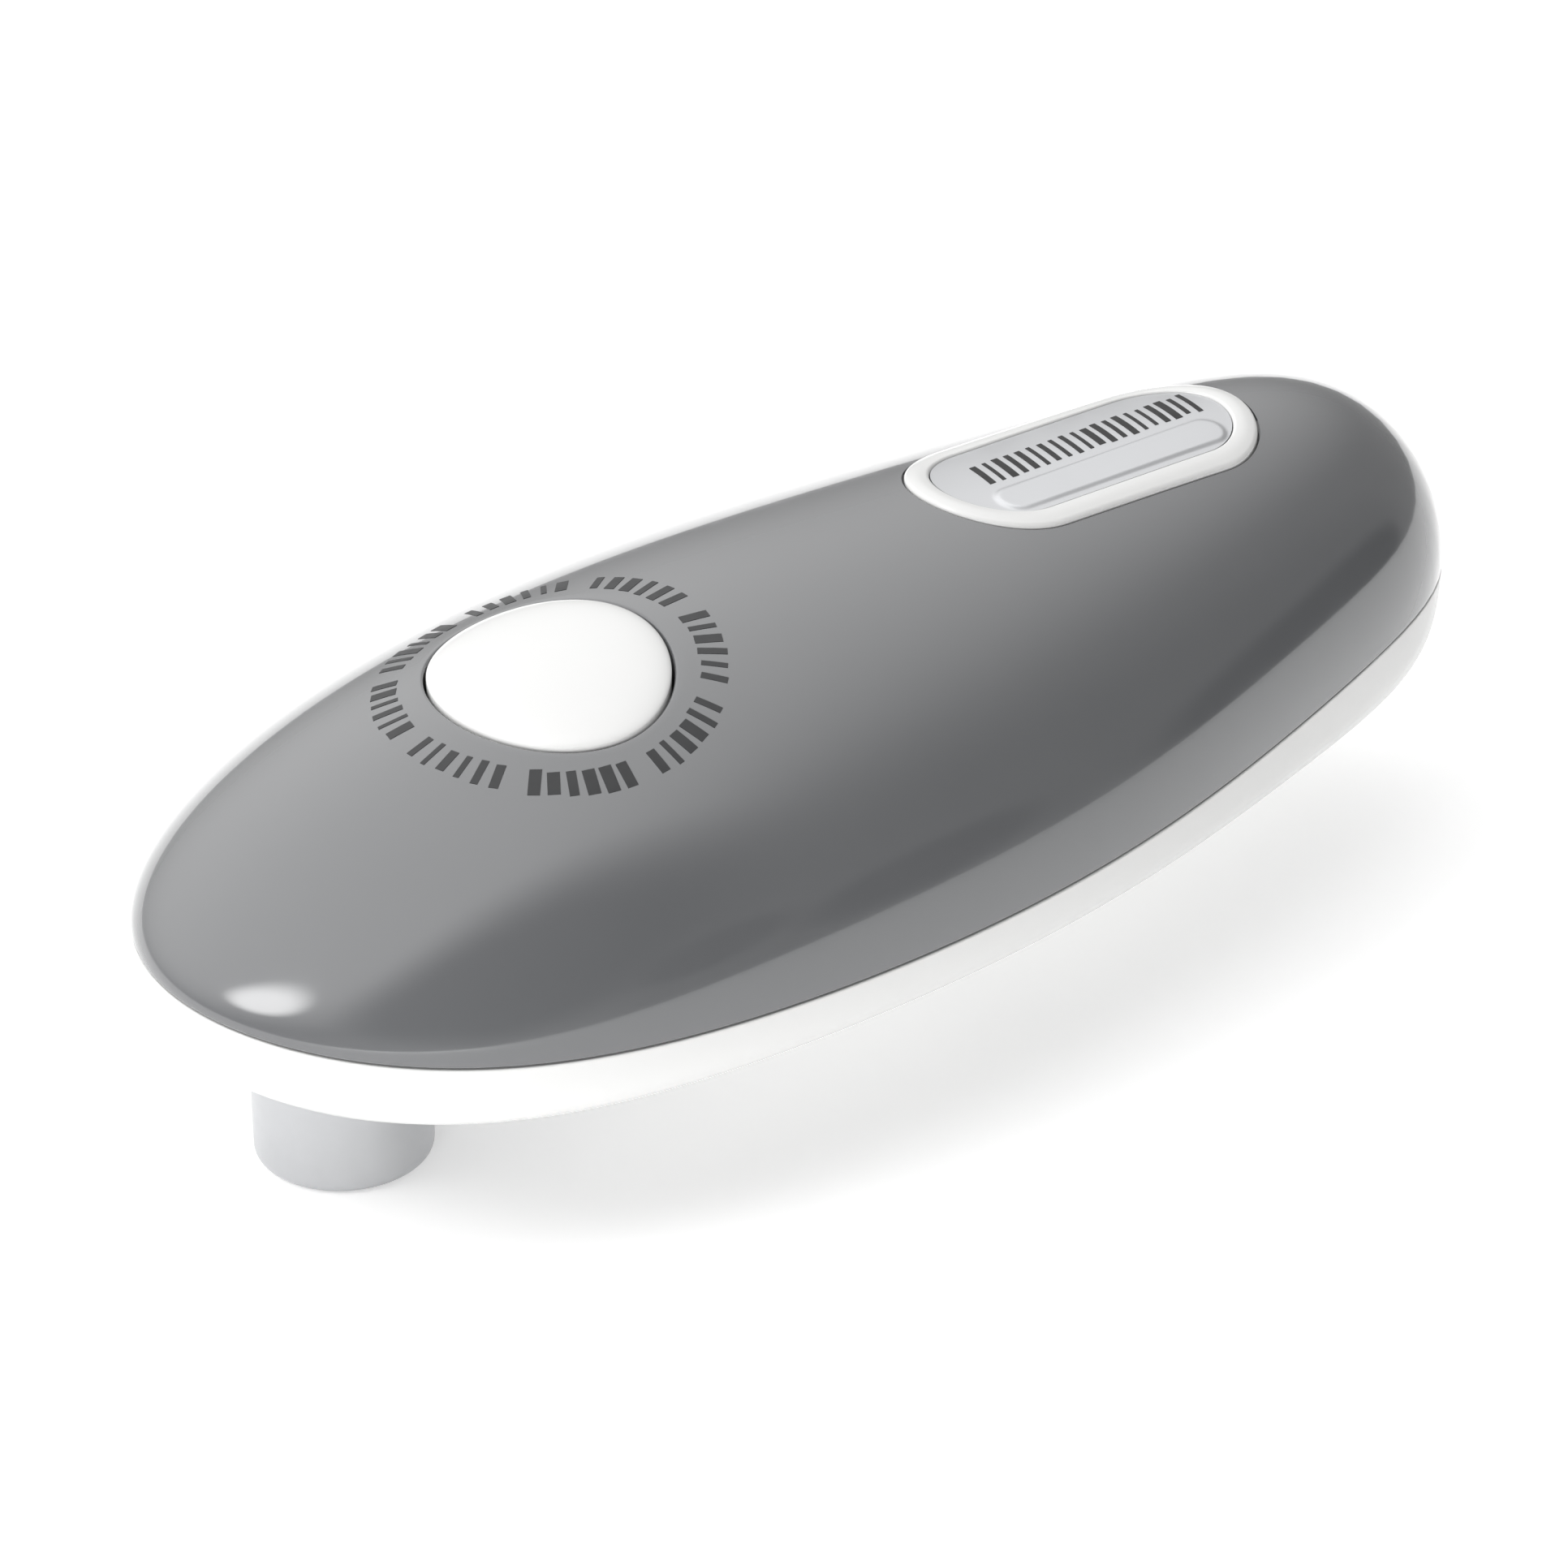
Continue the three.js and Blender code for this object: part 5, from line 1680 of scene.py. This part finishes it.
@dataclass(frozen=True)
class Battery:
    """An AA cell lying along X, with its sleeve, its steel ends and its nub."""

    radius: float = 7.1
    body: float = 49.0
    nub: float = 1.3
    nub_radius: float = 2.7
    z: float = 25.7
    band: float = 13.0

    def build(self, name: str, x: float, y: float, backward: bool) -> bpy.types.Object:
        """Makes one cell in three materials, starting at x, or ending there if it points backward.

        Args:
            name: the object's name.
            x: where it starts or ends.
            y: the place of its axis.
            backward: whether it points toward lower X.

        Returns:
            The cell.
        """
        side, top, tip = self.radius, self.body, self.body + self.nub
        profile = [(0, 0), (5.4, 0), (5.5, 0.15), (side - 0.9, 0.15), (side - 0.8, 0.05), (side - 0.25, 0.05),
                   (side, 0.3), (side, top - self.band), (side, top - 0.4), (side - 0.4, top),
                   (side - 1.0, top), (side - 1.1, top - 0.12), (self.nub_radius + 0.4, top - 0.12),
                   (self.nub_radius, top + 0.2), (self.nub_radius, tip - 0.3), (self.nub_radius - 0.3, tip),
                   (0, tip)]
        cell = turned(name, profile, 0.0, 0.0, 96)
        heights = [p.center.z / MM for p in cell.data.polygons]
        radii = [math.hypot(p.center.x, p.center.y) / MM for p in cell.data.polygons]
        for finish in (SLEEVE, SPRING_STEEL, SLEEVE_BAND):
            cell.data.materials.append(finish.build())
        kinds = [1 if r < self.radius - 0.95 else 2 if h > self.body - self.band else 0
                 for h, r in zip(heights, radii)]
        cell.data.polygons.foreach_set("material_index", kinds)
        return lay_along_x(cell, x, y, self.z, backward)


@dataclass(frozen=True)
class Bay:
    """The black cradle over the cells, open below, and the sprung contacts at its ends."""

    x: tuple[float, float] = (16.0, 74.5)
    half_y: float = 15.6
    top: float = 33.6
    wall: float = 1.2
    bottom: float = 18.7
    cell_y: float = 7.5
    sheet: float = 0.35
    plate_z: tuple[float, float] = (19.4, 32.4)
    tab_top: float = 37.0
    wire: float = 0.4
    spring_length: float = 6.2

    def cradle(self) -> bpy.types.Object:
        """The cradle with a rib between the cells and a lip along its mouth.

        Returns:
            The cradle.
        """
        front, rear = self.x

        def ring(grow: float, z: float) -> Ring:
            """The cradle's outline at one height, grown all round."""
            return rounded_rectangle(front, rear, self.half_y, 0.8, grow, z)

        outer = self.top + self.wall
        rings = [ring(0.0, self.top), ring(0.0, self.bottom + 0.3), ring(0.3, self.bottom)]
        rings += [ring(self.wall - 0.3, self.bottom), ring(self.wall, self.bottom + 0.3)]
        rings += [ring(self.wall, outer - 0.5), ring(self.wall - 0.5, outer)]
        cradle = mesh_object("bay_cradle", *loft(rings))
        rib = soft_block((front + 8, rear - 8), (-0.2, 0.2), (28.0, self.top + 0.4), 0.1)
        cut(cradle, [rib], "UNION")
        slots = [soft_block((front - 0.25, front + 0.75), (y - 2.2, y + 2.2), (self.top - 1, outer + 1), 0.1)
                 for y in (self.cell_y, -self.cell_y)]
        cut(cradle, slots)
        even_normals(cradle)
        return cradle

    def spring(self, x: float, y: float, backward: bool) -> bpy.types.Object:
        """A conical coil spring.

        Args:
            x: where it starts or ends.
            y: the place of its axis.
            backward: whether it runs toward lower X.

        Returns:
            The spring.
        """
        t = np.linspace(0, 1, 150)
        radius, angle = 4.6 - 1.8 * t, 2 * math.pi * 3.5 * t
        path = np.stack([radius * np.cos(angle), radius * np.sin(angle), self.spring_length * t], axis=1)
        return lay_along_x(tube(path, self.wire), x, y, 25.7, backward)

    def plate(self, x: float, y: tuple[float, float]) -> bpy.types.Object:
        """One contact's sheet."""
        return soft_block((x, x + self.sheet), y, self.plate_z, 0.1)

    def tab(self, y: float) -> bpy.types.Object:
        """The tab that comes up through the cradle for a lead."""
        x = self.x[0] + 0.08
        return soft_block((x + 0.01, x + self.sheet - 0.01), (y - 1.8, y + 1.8), (30.0, self.tab_top), 0.1)

    def contacts(self) -> dict[str, bpy.types.Object]:
        """The three contacts by the node that each stands for.

        Returns:
            The contacts.
        """
        front = self.x[0] + 0.08
        rear = self.x[1] - 0.08 - self.sheet
        reach = self.cell_y * 2 - 0.6
        negative = [self.plate(front, (-reach, -1.0)), self.tab(-self.cell_y),
                    self.spring(front + 0.5, -self.cell_y, False)]
        positive = [self.plate(front, (1.0, reach)), self.tab(self.cell_y)]
        bridge = [self.plate(rear, (-reach, reach)), self.spring(rear - 0.1, self.cell_y, True)]
        return {"contact_negative": merge("spring_contact_front", negative),
                "contact_positive": merge("flat_contact_front", positive),
                "contact_bridge": merge("spring_contact_rear", bridge)}


# ---- Studio ----------------------------------------------------------------------------------------
@dataclass(frozen=True)
class Studio:
    """White floor, a soft sky, a fill light and the camera.

    lights and shades are patches of sky over an even ambient light, each with its strength: azimuth,
    elevation, outer and inner radius, in degrees. backdrop is the sky's tone beyond the floor, as only the
    camera sees it. fill_place is an azimuth and an elevation in degrees, and a distance.
    """

    azimuth: float = -39.114
    elevation: float = 29.697
    target: tuple[float, float, float] = (0.0, 0.0, 34.0)
    shift: tuple[float, float] = (-5.484, -9.63)
    distance: float = 700.0
    lens: float = 128.7
    floor_radius: float = 1500.0
    backdrop: float = 0.92
    ambient: float = 0.36
    lights: tuple[Patch, ...] = (((104.0, 62.0, 75.0, 15.0), 1.35), ((158.0, 41.0, 15.0, 6.0), 5.6))
    shades: tuple[Patch, ...] = (
        ((-112.0, 44.0, 46.0, 24.0), 0.95), ((-50.0, 4.0, 42.0, 26.0), 0.35),
        ((-73.0, 17.0, 10.0, 6.0), 0.85), ((-55.0, 9.0, 10.0, 6.0), 0.85), ((-27.0, 2.0, 13.0, 7.0), 0.95))
    fill_place: tuple[float, float, float] = (-140.0, 8.0, 700.0)
    fill_size: tuple[float, float] = (500.0, 260.0)
    fill_power: float = 2.5

    def axes(self) -> tuple[Vector, Vector, Vector]:
        """The camera's right, up and back directions.

        Returns:
            The three directions.
        """
        az, el = math.radians(self.azimuth), math.radians(self.elevation)
        back = Vector((math.sin(az) * math.cos(el), -math.cos(az) * math.cos(el), math.sin(el)))
        right = Vector((math.cos(az), math.sin(az), 0.0))
        return right, back.cross(right), back

    def camera(self) -> None:
        """Sets the scene's camera."""
        right, up, back = self.axes()
        aim = Vector(self.target) + right * self.shift[0] + up * self.shift[1]
        place = aim + back * self.distance
        data = bpy.data.cameras.new("camera")
        data.lens = self.lens
        data.sensor_width = 36.0
        data.clip_start, data.clip_end = 0.01, 20.0
        item = bpy.data.objects.new("camera", data)
        item.matrix_world = Matrix((right, up, back)).transposed().to_4x4()
        item.location = place * MM
        bpy.context.scene.collection.objects.link(item)
        bpy.context.scene.camera = item

    def floor(self) -> None:
        """A wide round white floor."""
        item = mesh_object("floor", circle(0.0, 0.0, 0.0, self.floor_radius, 128), [tuple(range(128))])
        item.data.materials.append(PAPER.build())

    def aimed(self, item: bpy.types.Object, azimuth: float, elevation: float, distance: float) -> None:
        """Puts something round the opener, facing it.

        Args:
            item: what to place.
            azimuth: its direction, in degrees.
            elevation: its height above the floor, in degrees.
            distance: how far away, in millimetres.
        """
        az, el = math.radians(azimuth), math.radians(elevation)
        away = Vector((math.cos(az) * math.cos(el), math.sin(az) * math.cos(el), math.sin(el)))
        item.location = (away * distance + Vector(self.target)) * MM
        item.rotation_mode = "QUATERNION"
        item.rotation_quaternion = away.to_track_quat("Z", "Y")

    def lamp(self, name: str, azimuth: float, elevation: float, distance: float, size: tuple[float, float],
             power: float) -> None:
        """Adds a soft box that neither the camera nor reflections see.

        Args:
            name: the lamp's name.
            azimuth: its direction, in degrees.
            elevation: its height above the floor, in degrees.
            distance: how far away, in millimetres.
            size: its width and height.
            power: its power, in watts.
        """
        data = bpy.data.lights.new(name, "AREA")
        data.shape = "RECTANGLE"
        data.size, data.size_y = size[0] * MM, size[1] * MM
        data.energy = power
        item = bpy.data.objects.new(name, data)
        bpy.context.scene.collection.objects.link(item)
        self.aimed(item, azimuth, elevation, distance)
        item.visible_camera = False
        item.visible_glossy = False

    def lobe(self, tree: bpy.types.NodeTree, spot: Spot) -> Socket:
        """A soft round patch of sky, from 0 outside to 1 within.

        Args:
            tree: the sky's node tree.
            spot: its azimuth and elevation, its outer radius and its inner radius, in degrees.

        Returns:
            The patch's strength.
        """
        az, el, outer, inner = (math.radians(v) for v in spot)
        aim = (math.cos(az) * math.cos(el), math.sin(az) * math.cos(el), math.sin(el))
        way = add_node(tree, "ShaderNodeTexCoord").outputs["Object"]
        way = add_node(tree, "ShaderNodeVectorMath", {0: way}, operation="NORMALIZE").outputs[0]
        near = add_node(tree, "ShaderNodeVectorMath", {0: way, 1: aim}, operation="DOT_PRODUCT")
        inputs = {"Value": near.outputs["Value"], "From Min": math.cos(outer), "From Max": math.cos(inner)}
        return add_node(tree, "ShaderNodeMapRange", inputs, interpolation_type="SMOOTHSTEP").outputs["Result"]

    def sky(self) -> None:
        """A dim room with a broad soft light behind, a small one at the nose and a dark near side."""
        world = bpy.data.worlds.new("studio")
        world.use_nodes = True
        tree = world.node_tree
        total: Socket | float = self.ambient
        for spot, strength in self.lights:
            inputs = {0: self.lobe(tree, spot), 1: strength, 2: total}
            total = add_node(tree, "ShaderNodeMath", inputs, operation="MULTIPLY_ADD").outputs[0]
        for spot, share in self.shades:
            kept = add_node(tree, "ShaderNodeMath", {0: self.lobe(tree, spot), 1: -share, 2: 1.0},
                            operation="MULTIPLY_ADD").outputs[0]
            total = add_node(tree, "ShaderNodeMath", {0: total, 1: kept}, operation="MULTIPLY").outputs[0]
        seen = add_node(tree, "ShaderNodeLightPath").outputs["Is Camera Ray"]
        either = {0: seen, 2: total, 3: self.backdrop}
        total = add_node(tree, "ShaderNodeMix", either, data_type="FLOAT").outputs[0]
        background = next(n for n in tree.nodes if n.type == "BACKGROUND")
        tree.links.new(total, background.inputs["Strength"])
        background.inputs["Color"].default_value = (1.0, 1.0, 1.0, 1.0)
        bpy.context.scene.world = world

    def build(self) -> None:
        """Sets the whole studio."""
        self.floor()
        self.sky()
        self.lamp("fill", *self.fill_place, self.fill_size, self.fill_power)
        self.camera()
        bpy.context.scene.view_settings.view_transform = "Standard"


# ---- Assembly --------------------------------------------------------------------------------------
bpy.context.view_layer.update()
BY_SLOT = {finish.slot: finish for finish in (
    GREY_ABS, WHITE_ABS, BUTTON_ABS, SILVER_FOIL, SATIN_ZINC, STAINLESS, ZINC_STEEL, GROUND_STEEL, SINTERED,
    SPRING_STEEL, BRASS, ACETAL, BLACK_ABS, BOARD, MAGNET_SKIN, SLEEVE, RED_PVC, BLACK_PVC)}


def finish_frame() -> None:
    """Gives every solid of the frame the finish of its slot."""
    slots = {part["node"]: part["material_slot"] for part in frame["record"]["subparts"]}
    for name, item in frame["nodes"].items():
        for place in item.material_slots:
            place.link = "OBJECT"
            place.material = BY_SLOT[slots[name]].build()


def build_outside() -> None:
    """Makes the housings, the button, the badge and their printing."""
    top = TopHousing().build()
    place_piece(top, GREY_ABS, "housing", ["top_housing"])
    place_piece(LowerHousing().build(), WHITE_ABS, "housing", ["lower_housing"])
    button = StartButton()
    place_piece(button.build(), BUTTON_ABS, "button", ["start_button"])
    spring = button.spring()
    place_piece(spring, SPRING_STEEL, "button", ["button_spring"])
    button.squash_spring(spring)
    badge = Badge()
    place_piece(badge.bezel(), BUTTON_ABS, "housing", ["badge_bezel"])
    plate = badge.plate()
    place_piece(plate, SILVER_FOIL, "housing", ["badge_plate"])
    ring = Pattern("print_round_button", Layout.RING, count=56, centre=(-43.2, 0.0, 0.02), reach=(18.9, 21.2),
                   bar=(1.55, 3.8, 0.06), least=(0.4, 0.8), gap_every=7, seed=11)
    place_piece(ring.build(INK, surface=top), INK, "housing", [])
    row = Pattern("print_on_badge", Layout.ROW, count=20, centre=(43.9, 0.0, 0.02), reach=(17.6, 1.5),
                  bar=(1.25, 6.0, 0.06), least=(0.4, 0.85), slant=0.2, seed=3)
    place_piece(row.build(BLACK_INK, surface=plate), BLACK_INK, "housing", [])


def build_nip() -> None:
    """Makes the foot, the cutting disc, the drive wheel, the wear plate and the magnet."""
    nip = Nip()
    place_piece(GuideFoot().build(), SATIN_ZINC, "carrier", ["guide_foot"])
    foot_screw = HeadedScrew(head=3.2, face=1.2, seat=3.9, shank=1.15, end=9.2, cross=1.9, depth=1.5)
    place_piece(foot_screw.build("foot_bolt", HUB_X, 4.6), STAINLESS, "carrier", ["foot_screw"])
    place_piece(nip.cutter(), CUTTER_STEEL, "cutter", ["cutter_wheel"])
    place_piece(nip.carrier(), GROUND_STEEL, "carrier", ["cutter_carrier"])
    place_piece(nip.wheel(), WHEEL_STEEL, "drive", ["drive_wheel"])
    place_piece(nip.nut(), WHEEL_STEEL, "drive", ["drive_wheel_nut"])
    place_piece(nip.drive_shaft(), GROUND_STEEL, "drive", ["drive_shaft"])
    place_piece(nip.wear_plate(LowerHousing()), STAINLESS, "housing", ["wear_plate"])
    screw = HeadedScrew(head=2.1, face=15.0, seat=15.55, shank=0.8, end=18.2, cross=1.2, depth=0.4)
    for number, side in ((1, 1), (2, -1)):
        place_piece(screw.build(f"wear_bolt_{number}", -52.0, side * 8.2), STAINLESS, "housing",
                    [f"wear_plate_screw_{number}"])
    magnet = LidMagnet()
    place_piece(magnet.magnet(), MAGNET_SKIN, "housing", ["magnet"])
    place_piece(magnet.holder(), WHITE_ABS, "housing", ["magnet_holder"])


def build_bay() -> None:
    """Makes the door, the cells, the cradle, the contacts and the housing's screws."""
    place_piece(BatteryDoor().build(), WHITE_ABS, "door", ["battery_door"])
    ribs = Pattern("door_ribs", Layout.ROW, count=5, centre=(49.0, 0.0, 15.95), reach=(4.0, 0.0),
                   bar=(0.7, 14.0, 0.5))
    place_piece(ribs.build(WHITE_ABS), WHITE_ABS, "door", [])
    battery = Battery()
    for name, node, x, y, backward in (("cell_one", "aa_cell_1", 23.6, -7.5, False),
                                       ("cell_two", "aa_cell_2", 66.9, 7.5, True)):
        cell = battery.build(name, x, y, backward)
        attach(cell, "housing")
        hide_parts(node)
        log.info("%s: %d faces", cell.name, len(cell.data.polygons))
    bay = Bay()
    place_piece(bay.cradle(), BLACK_ABS, "housing", ["battery_cradle"])
    for node, contact in bay.contacts().items():
        place_piece(contact, SPRING_STEEL, "housing", [node])
    screw = HeadedScrew(head=2.8, face=19.8, seat=21.95, shank=1.15, end=33.6, cross=1.7, depth=1.3)
    screws = Pattern("housing_bolts", Layout.GIVEN).build(
        ZINC_STEEL, part=screw.build("screw", 0.0, 0.0), points=[(x, y, 0.0) for x, y in SCREW_PLACES])
    place_piece(screws, ZINC_STEEL, "housing", [f"housing_screw_{i}" for i in range(1, 6)])


def main() -> None:
    """Builds the opener and its studio."""
    logging.basicConfig(level=logging.INFO, format="%(name)s %(message)s")
    finish_frame()
    build_outside()
    build_nip()
    build_bay()
    Studio().build()


if __name__ == "__main__":
    main()
